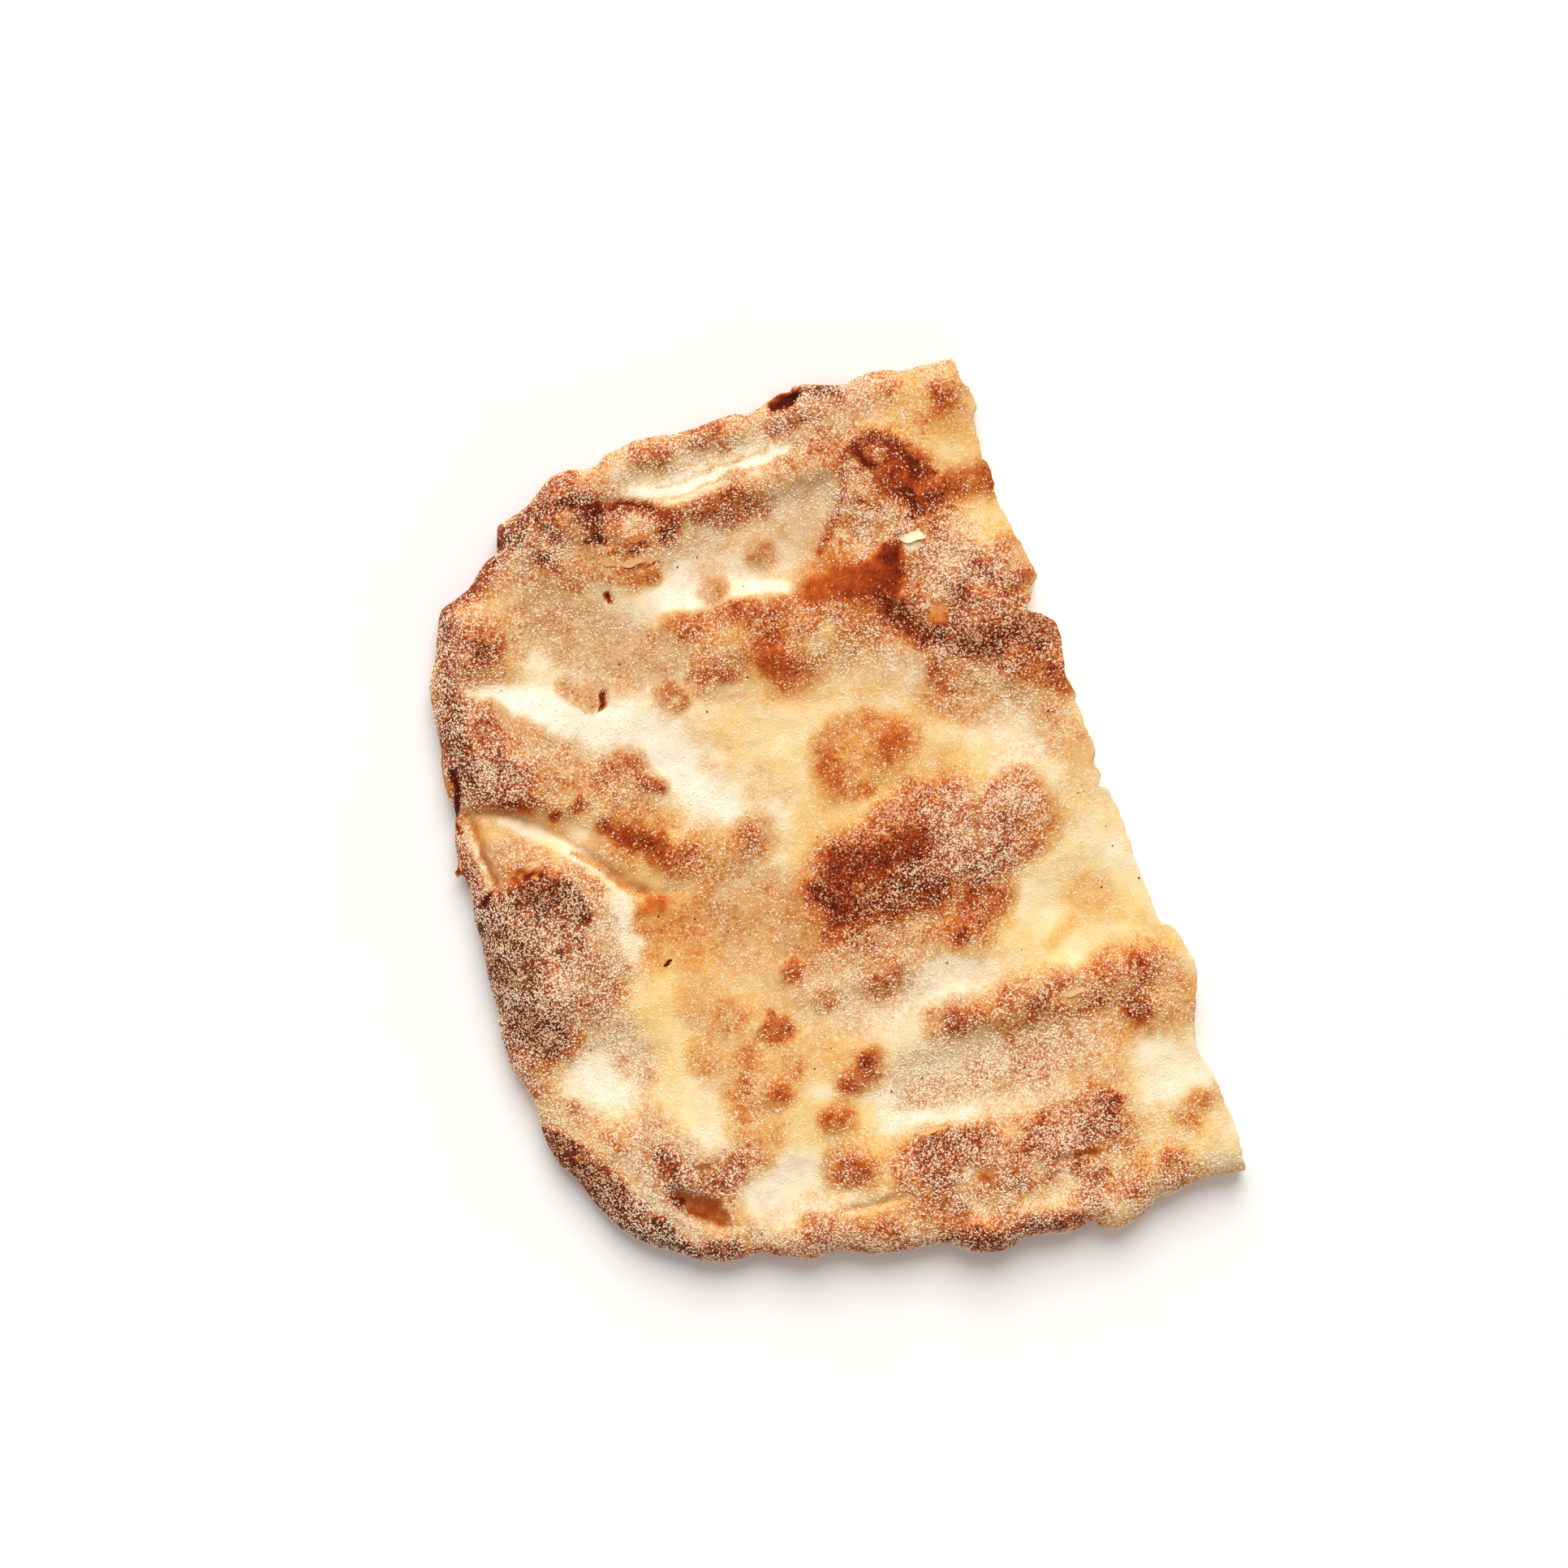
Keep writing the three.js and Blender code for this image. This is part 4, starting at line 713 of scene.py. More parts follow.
    ([(3.6, -8.6, 3.4), (6.6, -12.6, 5), (11, -14.6, 4.4)], 0.86, 0.9),
    ([(9.4, -14, 2.4)], 0.96, 0.9),
    ([(10, -5.6, 4.4), (18, -5.6, 4.4), (26, -4.6, 4.4), (32, -3.6, 3.4)], 0.85, 0.9),
    ([(17, -13, 5), (25, -13, 6), (29, -16, 5)], 0.84, 0.9),
    ([(20, -19.6, 4)], 0.72, 0.8),
    ([(38, -10, 5), (42, -16, 5)], 0.72, 0.8),
    ([(35, 3, 4.4), (41, 4, 3.4)], 0.62, 0.8),
    ([(50, -12, 5)], 0.72, 0.9),
    ([(44, -8, 4)], 0.50, 0.9),
    ([(52, 0, 3), (58, 0, 3)], 0.50, 0.9),
    ([(57, -9, 5)], 0.52, 0.9),
    ([(62, -10, 3)], 0.44, 0.9),
    ([(3.4, -20.6, 3)], 0.54, 0.9),
    ([(10.6, -25, 3.6)], 0.52, 0.9),
    ([(20, -26, 4)], 0.43, 0.9),
    ([(33, -29.6, 3), (37, -25.6, 3.6), (43, -23, 3.4)], 0.63, 0.8),
    ([(33, -30, 1.8)], 0.76, 0.8),
    ([(34, -35, 2)], 0.32, 0.9),
    # Spots below the middle.
    ([(10.6, -33.6, 4), (14.6, -32.6, 2.6)], 0.54, 0.7),
    ([(-3.6, -34, 2.6)], 0.46, 0.8),
    ([(-9.6, -24.4, 2.8)], 0.58, 0.6),
    ([(-3, -24.6, 2)], 0.40, 0.9),
    ([(-28, -29, 3)], 0.46, 0.8),
    ([(-19.4, -36.2, 3.2), (-18.6, -33, 1.4)], 0.62, 0.6),
    ([(-16, -37, 2)], 0.64, 0.7),
    ([(-26.6, -39.6, 3)], 0.52, 0.8),
    ([(-37, -37, 3)], 0.40, 0.9),
    ([(-32, -47, 3)], 0.50, 0.8),
    ([(-33, -52, 2)], 0.46, 0.9),
    ([(-24, -50.6, 3)], 0.56, 0.9),
    ([(-23.4, -50.8, 1.5)], 0.72, 0.9),
    ([(-17.4, -46, 2.2)], 0.42, 0.9),
    ([(-5.4, -54.6, 2.6), (-1, -53, 3), (1, -51, 2)], 0.56, 0.8),
    ([(0, -52, 1.8)], 0.74, 0.9),
    ([(-10, -61.4, 2.6), (-14, -62, 2)], 0.54, 0.8),
    ([(-27, -60, 3)], 0.36, 0.9),
    ([(52, -38.6, 2), (60, -36, 2)], 0.24, 0.9),
    # The ridge across and the knob on the cut.
    ([(24, -49.6, 2.6), (29, -49, 2.2)], 0.66, 0.8),
    ([(37, -47, 2.4)], 0.56, 0.8),
    ([(44, -52, 3)], 0.66, 0.8),
    ([(51, -48, 2.4)], 0.54, 0.9),
    ([(53, -52.4, 2)], 0.30, 0.8),
    ([(49, -56.4, 2), (54, -56.6, 2.6), (60, -56, 2)], 0.54, 0.8),
    ([(62, -49.6, 2.4), (64.6, -52, 2)], 0.58, 0.8),
    ([(70.6, -52, 3)], 0.68, 0.7),
    ([(66, -59, 3.2), (67, -63.4, 2.6)], 0.70, 0.7),
    ([(66.4, -61, 1.8)], 0.82, 0.8),
    ([(76, -58, 3)], 0.36, 0.9),
    # The lower left corner.
    ([(-74.4, -42, 2.6), (-72, -38, 2)], 0.58, 0.8),
    ([(-66, -50, 3)], 0.52, 0.9),
    ([(-54, -57, 2.4), (-53, -62, 2.4)], 0.78, 0.8),
    ([(-60, -59, 3)], 0.40, 0.9),
    ([(-45, -65.6, 3.4), (-40, -64, 3)], 0.64, 0.8),
    ([(-55.6, -66.6, 1.4), (-53, -68.6, 1.8)], 0.50, 0.3),
    ([(-53.4, -68.4, 1.6), (-49.6, -71.8, 3.4), (-47, -75.6, 2.8)], 0.50, 0.12),
    ([(-56.2, -66.8, 0.8), (-54.4, -67.6, 0.7)], 0.80, 0.6),
    ([(-53, -70.6, 0.7), (-51.4, -74.4, 0.7)], 0.62, 0.8),
    ([(-46.8, -77.6, 1.6)], 0.56, 0.9),
    ([(-57.4, -69.4, 1), (-53.4, -74.6, 1), (-48.6, -79, 1), (-42, -79.4, 0.9)], 0.24, 0.8),
    # Painted shade: a dark band along the baked edge here, where the side wall faces away from the
    # light.
    ([(-80.4, -41, 1.8), (-78.2, -45, 3.2), (-75.2, -50, 4.6), (-72.4, -55, 5.6), (-70.4, -60, 6.2),
      (-67.8, -65, 6), (-65, -70, 5.4), (-62, -75, 4.4), (-59, -79.4, 2.6)], 0.92, 0.25),
    ([(-55, -83, 2.2)], 0.90, 0.6),
    ([(-77, -36, 1.6), (-74, -42, 2), (-70, -48, 2.2), (-66, -54, 2.4), (-62.6, -60, 2.4),
      (-60.4, -66, 2.4), (-57, -73, 1.8), (-52, -79, 1.4)], 0.30, 0.7),
    ([(-56, -81.4, 1.8), (-52, -82.4, 2.6), (-46.4, -83.6, 2.4)], 0.86, 0.7),
    ([(-76.4, -47.6, 0.9), (-74.4, -50.4, 0.9)], 0.86, 0.6),
    # The bottom band.
    ([(-27, -83.4, 1.8), (-23.6, -84.4, 1.4)], 0.48, 0.7),
    ([(-26, -87, 3.2)], 0.64, 0.8),
    ([(-31, -90.6, 2)], 0.56, 0.9),
    ([(-14, -90.6, 2), (-8.6, -91, 2.4)], 0.60, 0.8),
    ([(-14.6, -73.6, 3), (-10, -75.4, 3.4)], 0.60, 0.8),
    ([(-12, -72.6, 1.6)], 0.74, 0.8),
    ([(4, -77, 3), (10, -77, 3.4), (17, -78, 2.8)], 0.72, 0.7),
    ([(8, -83, 3.4)], 0.74, 0.8),
    ([(5, -89, 2.8), (12, -92, 2.4)], 0.56, 0.9),
    ([(20, -84, 3)], 0.54, 0.9),
    ([(17.4, -87.4, 1.6)], 0.46, 0.6),
    ([(26.6, -90.6, 3)], 0.60, 0.8),
    ([(30, -85, 3), (35.6, -80.6, 3)], 0.68, 0.9),
    ([(36, -85, 3)], 0.72, 0.9),
    ([(44.6, -83.6, 3.4)], 0.78, 0.8),
    ([(52, -80.6, 3), (51, -85.6, 2.6)], 0.78, 0.8),
    ([(26, -96, 2.8), (32, -97, 3.4), (37, -95, 2.4)], 0.30, 0.8),
    ([(12.6, -87.6, 2.6)], 0.36, 0.9),
    ([(14, -95, 2.4)], 0.30, 0.9),
    ([(31, -88.4, 2.4)], 0.38, 0.9),
    ([(27, -79.6, 2.6)], 0.32, 0.9),
    ([(48, -95, 3)], 0.28, 0.9),
    ([(40, -91.6, 2), (43.6, -96, 2.4), (42.6, -99, 2)], 0.62, 0.8),
    ([(45.6, -90.8, 1.6), (41, -89.4, 1)], 0.56, 0.6),
    ([(50, -102, 2.6)], 0.60, 0.8),
    ([(7, -95.4, 3.2)], 0.60, 0.8),
    ([(9, -102, 3), (13, -104, 3), (19, -104.6, 2.6)], 0.86, 0.7),
    ([(24, -103, 2.6), (30, -105, 2.6), (36, -106, 2.4)], 0.80, 0.8),
    ([(62, -101.6, 4.4)], 0.50, 0.35),
    ([(58.8, -101, 1.4), (60.4, -98.6, 1.4), (64, -98.8, 1.4)], 0.62, 0.8),
    ([(62, -105, 1.8)], 0.54, 0.8),
    ([(70, -90.6, 2.4), (73, -87.4, 2)], 0.42, 0.9),
    ([(7.4, -72.4, 1.2), (11, -72.8, 1)], 0.32, 0.8),
    # Small round spots on pale dough.
    ([(53.8, 65, 1.8)], 0.10, 0.5),
    ([(18.4, 75, 2.6)], 0.42, 0.9),
    ([(17.8, 75, 1.4)], 0.50, 0.9),
    ([(3.6, 70.2, 2.6)], 0.40, 0.7),
    # The hole in the rim, the torn flakes and the cracks.
    # The hole in the rim, at the darkest level: partly painted shade in its depth.
    ([(33.2, 108.4, 1.5), (36.4, 107.9, 1.4), (39.2, 107.8, 1)], 1.0, 0.35),
    ([(33.6, 110.2, 0.8), (38.6, 110.2, 0.7)], 0.62, 0.5),
    ([(-21.4, 78.2, 0.6), (-21, 76.6, 0.7)], 0.90, 0.6),
    ([(-31.4, 52.4, 0.4), (-29.8, 53.4, 0.7), (-29.4, 55.6, 0.6)], 0.90, 0.6),
    ([(-63, 20.6, 0.8), (-61, 20.2, 0.9), (-58.6, 19.2, 0.6)], 0.88, 0.5),
    ([(-16.4, 88, 0.4), (-12, 86.4, 0.5), (-7, 87.2, 0.4)], 0.82, 0.6),
    ([(-15, 83.2, 0.3), (-10, 82.4, 0.4), (-6, 81.8, 0.3)], 0.66, 0.6),
    ([(-21, 83.6, 0.3), (-19, 80.8, 0.4)], 0.62, 0.6),
    ([(2.6, -100.2, 0.4), (8, -99, 0.6), (13, -99, 0.4)], 0.98, 0.5),
]


def brush(strokes, x, y, base, gold=0):
    """Paints a level over the plan. A stroke's reach is the distance to its path as a share of the
    radius there, and the level fades over its rim from one less its softness to one more. Beside
    a stroke browner than gold, the level is raised towards gold first."""
    level = np.full(np.shape(x), float(base))
    for path, value, soft in strokes:
        if len(path) == 1:
            path = path * 2
        reach = np.full(np.shape(x), np.inf)
        for start, end in zip(path[:-1], path[1:]):
            apart, t = stretch_distance(start, end, x, y)
            reach = np.minimum(reach, apart / (start[2] + (end[2] - start[2]) * t))
        if gold and value > gold:
            radius = max(r for _, _, r in path)
            wide = 1 + min(GOLD_WIDTH[0], GOLD_WIDTH[1] / radius)
            level += np.maximum(gold - level, 0) * (1 - smooth_step(reach, 1, wide + soft / 2))
        level += (value - level) * (1 - smooth_step(reach, 1 - soft, 1 + soft))
    return level


# The rim is browner: its width in mm and its level all round, and what the rounded end and the
# lower edge add to them. What they add is partly painted shade, as those sides face away from the
# light.
RIM_WIDTH, RIM_WIDTH_LEFT, RIM_WIDTH_LOWER = 2.6, 6.5, 1.5
RIM_TOAST, RIM_TOAST_AND_SHADE_LEFT, RIM_TOAST_AND_SHADE_LOWER = 0.42, 0.34, 0.24
RIM_STRENGTH = 0.85
# How uneven the browning is, in layers of a strength, a size in mm and a seed: clouds on all of it,
# and spots, of which pale dough has only a share.
TOAST_CLOUDS = [(0.03, 9, 34), (0.025, 4.2, 35)]
TOAST_SPOTS = [(0.06, 3.7, 32), (0.07, 1.8, 33)]
SPOTS_ON_PALE = 0.4


def upper_toast_and_painted_light(x, y, to_edge):
    """The painted browning, with painted shade and highlights among its strokes, darker round the
    rim, above all where it hangs over at the rounded end and along the lower edge, which face away
    from the light, so that part of that extra darkness is painted shade, and uneven at the size of
    small blisters."""
    level = brush(TOAST_AND_PAINTED_LIGHT_STROKES, *warped(x, y), BASE_TOAST, GOLD_LEVEL)
    left = smooth_step(-x, 45, 78) * smooth_step(-y, -60, -10) * smooth_step(y, -36, -18)
    lower = smooth_step(-y, 20, 80)
    width = RIM_WIDTH + RIM_WIDTH_LEFT * left + RIM_WIDTH_LOWER * lower
    darkest = RIM_TOAST + RIM_TOAST_AND_SHADE_LEFT * left
    darkest = darkest + RIM_TOAST_AND_SHADE_LOWER * lower * smooth_step(-x, -45, -35)
    rim = 1 - smooth_step(to_edge + 1.1 * mottle(x, y, 4, 31), 0.2 * width, width)
    level = level + np.maximum(darkest - level, 0) * rim * RIM_STRENGTH
    spotted = SPOTS_ON_PALE + (1 - SPOTS_ON_PALE) * smooth_step(level, 0.25, 0.5)
    level = level + mottles(x, y, TOAST_CLOUDS) + spotted * mottles(x, y, TOAST_SPOTS)
    return np.clip(level, 0, 1)


# How dry the surface is: 0 where oil makes it yellow and orange, 1 where flour makes it white and
# a duller, pinker brown.
BASE_DRY = 0.40
DRY_CLOUDS = [(0.22, 6, 43), (0.18, 2.6, 44)]
DRY_STROKES = [
    ([(-36, 98, 9), (-22, 100, 11)], 0.70, 0.8),
    ([(-10, 102, 6), (14, 98, 6), (36, 100, 6), (52, 103, 6)], 1.0, 0.8),
    ([(0, 77, 10), (20, 75, 11), (34, 82, 8)], 1.0, 0.7),
    ([(-38, 80, 9), (-30, 68, 14), (-16, 58, 8)], 1.0, 0.7),
    ([(-66, 80, 9), (-70, 60, 9), (-64, 46, 9)], 0.65, 0.8),
    ([(-56, 64, 5), (-44, 55, 9), (-28, 46, 9), (-18, 30, 9), (-12, 20, 5)], 1.0, 0.8),
    ([(-50, 82, 5), (-45, 70, 5)], 0.60, 0.8),
    ([(-72, 28, 4)], 0.9, 0.7),
    ([(-60, 29, 6), (-46, 20, 6)], 0.65, 0.7),
    ([(-41, 13, 4), (-36, 8, 4)], 0.60, 0.8),
    ([(-68, 4, 17), (-60, -4, 15)], 1.0, 0.7),
    ([(-58, -31, 12)], 1.0, 0.5),
    ([(44, 74, 8), (56, 60, 10), (62, 48, 13)], 0.65, 0.7),
    ([(60, 34, 8), (72, 32, 9)], 0.25, 0.8),
    ([(4, 48, 6), (24, 40, 6), (44, 35, 6)], 0.95, 0.8),
    ([(56, 20, 9), (64, 8, 7)], 0.75, 0.9),
    ([(-5, 4, 7), (-2, 12, 6)], 0.75, 0.9),
    ([(22, -10, 12), (40, -8, 13), (54, -8, 8)], 0.65, 0.7),
    ([(0, -30, 9), (14, -38, 9), (26, -42, 8)], 0.95, 0.8),
    ([(8, -62, 9), (26, -62, 11), (46, -63, 10)], 1.0, 0.7),
    ([(40, -50, 8), (60, -53, 9)], 0.45, 0.8),
    ([(-56, -58, 9), (-44, -66, 8), (-64, -70, 9), (-60, -78, 6)], 1.0, 0.8),
    ([(-30, -74, 9), (-16, -81, 5)], 0.80, 0.7),
    ([(6, -84, 10), (26, -88, 12), (46, -84, 11), (30, -99, 9)], 0.60, 0.8),
    ([(70, -78, 10)], 0.70, 0.8),
    ([(-34, -8, 9), (-46, -18, 7), (-43, -34, 7)], 0.0, 0.8),
    ([(-56, -24, 6), (-54.6, -32, 5)], 1.0, 0.6),
    ([(-28, -32, 10), (-14, -46, 10)], 0.25, 0.8),
    ([(-14, -15, 10), (-6, -20, 9)], 0.55, 0.8),
    ([(52, -36, 10), (68, -32, 12), (76, -42, 6)], 0.05, 0.8),
    ([(6, 6, 6), (20, 7, 6), (45, 12, 7)], 0.15, 0.8),
    ([(24, 20, 12)], 0.05, 0.8),
    ([(8, 28, 8), (-6, 36, 6), (26, 30, 8)], 0.30, 0.9),
    ([(73, 62, 6), (72, 82, 6), (66, 94, 6)], 0.10, 0.8),
    ([(57, 80, 8), (68, 74, 6)], 0.20, 0.8),
    ([(66, -96, 8)], 0.30, 0.8),
    ([(-22, -58, 8), (-6, -66, 6)], 0.20, 0.9),
    ([(29, 61, 6), (40, 60, 7), (46, 61, 6)], 0.0, 0.6),
    ([(43, 54, 7), (47, 46, 5)], 0.10, 0.8),
    ([(12, 50, 7)], 0.05, 0.8),
    ([(8, -13, 8), (12, -3, 6), (28, -4, 6)], 0.0, 0.8),
    ([(36, -27, 6)], 0.10, 0.8),
    ([(56, -24, 7), (72, -24, 7)], 0.30, 0.8),
    ([(12, -25, 7)], 0.60, 0.8),
    ([(-50, -72, 5)], 0.60, 0.5),
    ([(-37.6, 1, 4)], 0.05, 0.7),
    ([(-35, 21, 5.6), (-30, 16, 5.6)], 0.0, 0.8),
    ([(-61, 13, 7)], 0.25, 0.8),
    ([(-75, 2, 8), (-75, -10, 8)], 0.65, 0.8),
]
# How thickly the semolina lies: 0 for none, 1 for grain on grain.
BASE_FLOUR = 0.20
RIM_FLOUR, RIM_FLOUR_WIDTH = 0.85, (2, 9)  # mm from the edge: all of it within 2, none past 9
FLOUR_DRIFTS = [(0.25, 7, 41), (0.20, 2.8, 42)]
FLOUR_STROKES = [
    ([(-36, 98, 10), (-24, 100, 12), (-12, 95, 10)], 0.75, 0.6),
    ([(-20, 86, 9)], 0.40, 0.8),
    ([(-2, 107, 6), (30, 105, 7), (56, 104, 8)], 0.65, 0.7),
    ([(72, 100, 6)], 0.40, 0.9),
    ([(4, 98, 6), (22, 98, 7), (36, 98, 7)], 0.60, 0.7),
    ([(0, 88, 6), (24, 89, 7), (42, 92, 9)], 0.50, 0.8),
    ([(36, 84, 8)], 0.25, 0.8),
    ([(-62, 78, 12), (-52, 77, 9)], 0.65, 0.7),
    ([(-68, 62, 8), (-66, 50, 10), (-58, 46, 9)], 0.85, 0.6),
    ([(-50, 36, 7), (-44, 44, 7)], 0.50, 0.8),
    ([(-34, 66, 16)], 0.34, 0.8),
    ([(-2, 58, 9), (10, 62, 7)], 0.45, 0.7),
    ([(28, 52, 9), (36, 46, 8)], 0.62, 0.7),
    ([(44, 70, 8), (44, 80, 6), (54, 62, 9)], 0.80, 0.6),
    ([(52, 100, 7), (60, 92, 6)], 0.55, 0.8),
    ([(52, 52, 8), (62, 54, 13), (60, 42, 11), (72, 36, 9)], 0.90, 0.5),
    ([(66, 31, 6), (74, 28, 6)], 0.55, 0.8),
    ([(42, 54, 5), (46.6, 61, 5)], 0.20, 0.7),
    ([(54, 28, 7), (66, 20, 7), (72, 12, 5)], 0.50, 0.8),
    ([(62, 8, 7)], 0.35, 0.9),
    ([(57, 80, 8), (52, 90, 5)], 0.28, 0.6),
    ([(52.8, 87.4, 2)], 0.80, 0.7),
    ([(-36, 33, 9)], 0.50, 0.7),
    ([(-36, 20, 5), (-31, 16, 5)], 0.14, 0.8),
    ([(-20, 13, 7), (-12, 10, 6)], 0.60, 0.7),
    ([(-14, 22, 8), (-8, 4, 7)], 0.35, 0.9),
    ([(-58, 6, 17), (-56, -8, 12)], 0.72, 0.5),
    ([(-73, 4, 11), (-72, -14, 11)], 1.0, 0.6),
    ([(-46, 4, 5), (-48, -6, 5)], 0.85, 0.9),
    ([(-76, 28, 5)], 0.70, 0.7),
    ([(-64, 26, 4), (-58, 22, 3)], 0.60, 0.8),
    ([(24, 20, 12)], 0.24, 0.7),
    ([(14, -8, 10), (32, -7, 14), (50, -8, 12)], 0.95, 0.45),
    ([(7, -12, 6)], 0.25, 0.8),
    ([(16, -13, 5), (27, -14, 5)], 0.62, 0.8),
    ([(10, -5, 5), (20, -5, 5), (29, -4, 4.4)], 0.18, 0.8),
    ([(10, -24, 8), (30, -24, 8), (38, -26, 6)], 0.45, 0.8),
    ([(2, -33, 10), (16, -36, 9)], 0.55, 0.8),
    ([(68, -10, 7)], 0.30, 0.9),
    ([(-58, -30, 12)], 0.60, 0.6),
    ([(-54, -28, 6)], 0.80, 0.6),
    ([(-66, -54, 3), (-61, -64, 3), (-56, -74, 3)], 1.0, 0.7),
    ([(-76, -34, 6), (-70, -48, 9), (-58, -54, 9)], 0.75, 0.7),
    ([(-44, -28, 8), (-40, -44, 8)], 0.30, 0.9),
    ([(-32, -54, 9), (-28, -46, 7)], 0.35, 0.9),
    ([(-50, -62, 8), (-40, -66, 7)], 0.60, 0.7),
    ([(-64, -70, 6), (-54, -80, 5), (-44, -83, 4)], 0.90, 0.7),
    ([(8, -64, 9), (28, -64, 11), (48, -63, 10)], 0.85, 0.7),
    ([(22, -50, 6), (42, -51, 7), (60, -53, 7), (72, -57, 8)], 0.58, 0.8),
    ([(-12, -75, 7)], 0.50, 0.8),
    ([(6, -80, 8), (22, -86, 11), (44, -84, 11)], 0.76, 0.6),
    ([(8, -96, 7), (30, -99, 8), (50, -98, 9)], 0.75, 0.7),
    ([(-26, -87, 8), (-8, -91, 7)], 0.65, 0.7),
    ([(62, -84, 9), (62, -98, 9)], 0.40, 0.9),
    ([(28, -97.4, 1.2), (35, -98, 1.2)], 1.0, 0.6),
    ([(11, 48, 5)], 0.14, 0.7),
    ([(-8, 70, 3), (4, 69, 3), (18, 65, 3)], 0.16, 0.6),
]
# Torn, cracked and oily places where no grain sticks.
BARE_STROKES = [
    ([(-53, -68, 2.4), (-50, -71.6, 4), (-47.2, -75.4, 3.2)], 1, 0.25),
    ([(28, 61.6, 4), (38, 61, 4.4), (44.6, 60, 5), (48.4, 63, 4)], 1, 0.4),
    ([(53, 44.4, 2), (54, 48.4, 1.8)], 1, 0.4),
    ([(34, 20, 3.6)], 0.6, 0.8),
    ([(17.4, -87.4, 2)], 1, 0.5),
    ([(45.6, -90.8, 2)], 1, 0.5),
    ([(-1, 91.5, 1.6)], 0.9, 0.5),
    ([(-40, 1, 3), (-35, 1, 3)], 0.9, 0.6),
    ([(32.4, 108.4, 1.8), (36, 108.2, 2.2), (39, 108.4, 1.4)], 1, 0.3),
    ([(-66, 22, 1.6), (-62, 20.8, 1.8), (-58, 19.6, 1.2)], 1, 0.4),
    ([(-71.4, 50.4, 0.8), (-72, 45, 1), (-74.6, 41, 1)], 1, 0.4),
    ([(-74.2, 53, 1.4), (-74.8, 47, 1.4)], 1, 0.4),
    ([(-75.2, 38.6, 0.8), (-74, 35.4, 0.8)], 1, 0.4),
    ([(-74.6, 16.4, 0.8), (-72.4, 19.4, 0.8)], 1, 0.4),
    ([(-70, 40, 1.6), (-69.8, 30, 1.6), (-70.2, 21, 1.4)], 0.9, 0.4),
    ([(-66, 38, 2), (-58, 33.6, 2.6), (-50, 28, 3), (-44, 23, 3)], 0.85, 0.5),
    ([(-47, 20, 2), (-42, 12, 2.4), (-37, 8, 2.4)], 0.9, 0.5),
    ([(48.6, 90.6, 1.6), (50, 85, 1.4)], 0.9, 0.5),
    ([(-41, 99, 1.2), (-40, 102.4, 1.8)], 0.85, 0.6),
    ([(-61, 88.8, 1.4), (-52, 91.8, 1.4), (-44, 96.6, 1.4)], 0.6, 0.7),
    ([(58, 82, 4), (58, 77, 4)], 0.5, 0.6),
    ([(-21.2, 77.5, 1.2)], 1, 0.5),
    ([(-29.8, 54, 1.4)], 1, 0.5),
    ([(-18, 99, 1), (-9, 97.2, 1), (-3, 94.6, 1)], 0.8, 0.6),
]


def upper_flour(x, y, to_edge):
    """The painted dusting, thick round the rim, in drifts a few millimetres wide."""
    level = brush(FLOUR_STROKES, *warped(x, y), BASE_FLOUR)
    rim = 1 - smooth_step(to_edge, *RIM_FLOUR_WIDTH)
    level = level + np.maximum(RIM_FLOUR - level, 0) * rim
    level = level * (1 + mottles(x, y, FLOUR_DRIFTS))
    return np.clip(level * (1 - brush(BARE_STROKES, *warped(x, y), 0)), 0, 1)


# The crumb's holes on the cut face, in mm: how many, the smallest and largest half length, the
# half height and the depth, and how far up and down from the crumb's middle they are.
CRUMB_HOLES = [
    (11, (3.2, 6.2), (2.2, 2.8), (1.8, 3.6), 1.6),
    (70, (0.9, 2.4), (0.6, 1.3), (0.7, 1.8), 3.84),
    (420, (0.35, 0.9), (0.25, 0.6), (0.3, 0.8), 3.84),
]
CRUMB_HALF, CRUMB_MIDDLE = 98, 6  # mm, half the stretch with holes, and its middle height
CRUMB_FACE = [(0.16, 1.1, 51), (0.12, 2.4, 52)]  # mm, how rough the face between them is


def crumb_hollow(y, z, share):
    """How far the crumb stands back from the cut: ovals of three sizes, one to each equal step of
    the length, at a place in it by chance, the deepest at each point, faded out at the crusts."""
    depth = np.zeros(np.shape(y))
    pick = np.random.default_rng(7)
    for count, lengths, heights, depths, apart in CRUMB_HOLES:
        for i in range(count):
            middle = CRUMB_HALF * (2 * (i + 0.5 + 0.6 * (pick.random() - 0.5)) / count - 1)
            level = CRUMB_MIDDLE + 2 * apart * (pick.random() - 0.5)
            half_length, half_height, deepest = (
                low + (high - low) * pick.random() for low, high in (lengths, heights, depths)
            )
            q = ((y - middle) / half_length) ** 2 + ((z - level) / half_height) ** 2
            depth = np.maximum(depth, deepest * np.exp(-(q**1.6)))
    return depth * smooth_step(np.minimum(share, 1 - share), 0.03, 0.14)


u, v = stations(COLUMNS, ROW_LENGTH, False), stations(ROWS, COLUMN_LENGTH, True)
plan = plan_grid(u, v)
plan_x, plan_y = plan[..., 0], plan[..., 1]
to_edge = path_distance(baked_points, plan_x, plan_y)
to_edge[0], to_edge[:, 0], to_edge[:, -1] = 0, 0, 0
toast_and_painted_light = upper_toast_and_painted_light(plan_x, plan_y, to_edge)
flour = upper_flour(plan_x, plan_y, to_edge)
dry = brush(DRY_STROKES, *warped(plan_x, plan_y), BASE_DRY)
dry = np.clip(dry + mottles(plan_x, plan_y, DRY_CLOUDS), 0, 1)
upper_z = upper_height(plan_x, plan_y, to_edge, toast_and_painted_light)
lower_z = lower_height(plan_x, plan_y, to_edge)

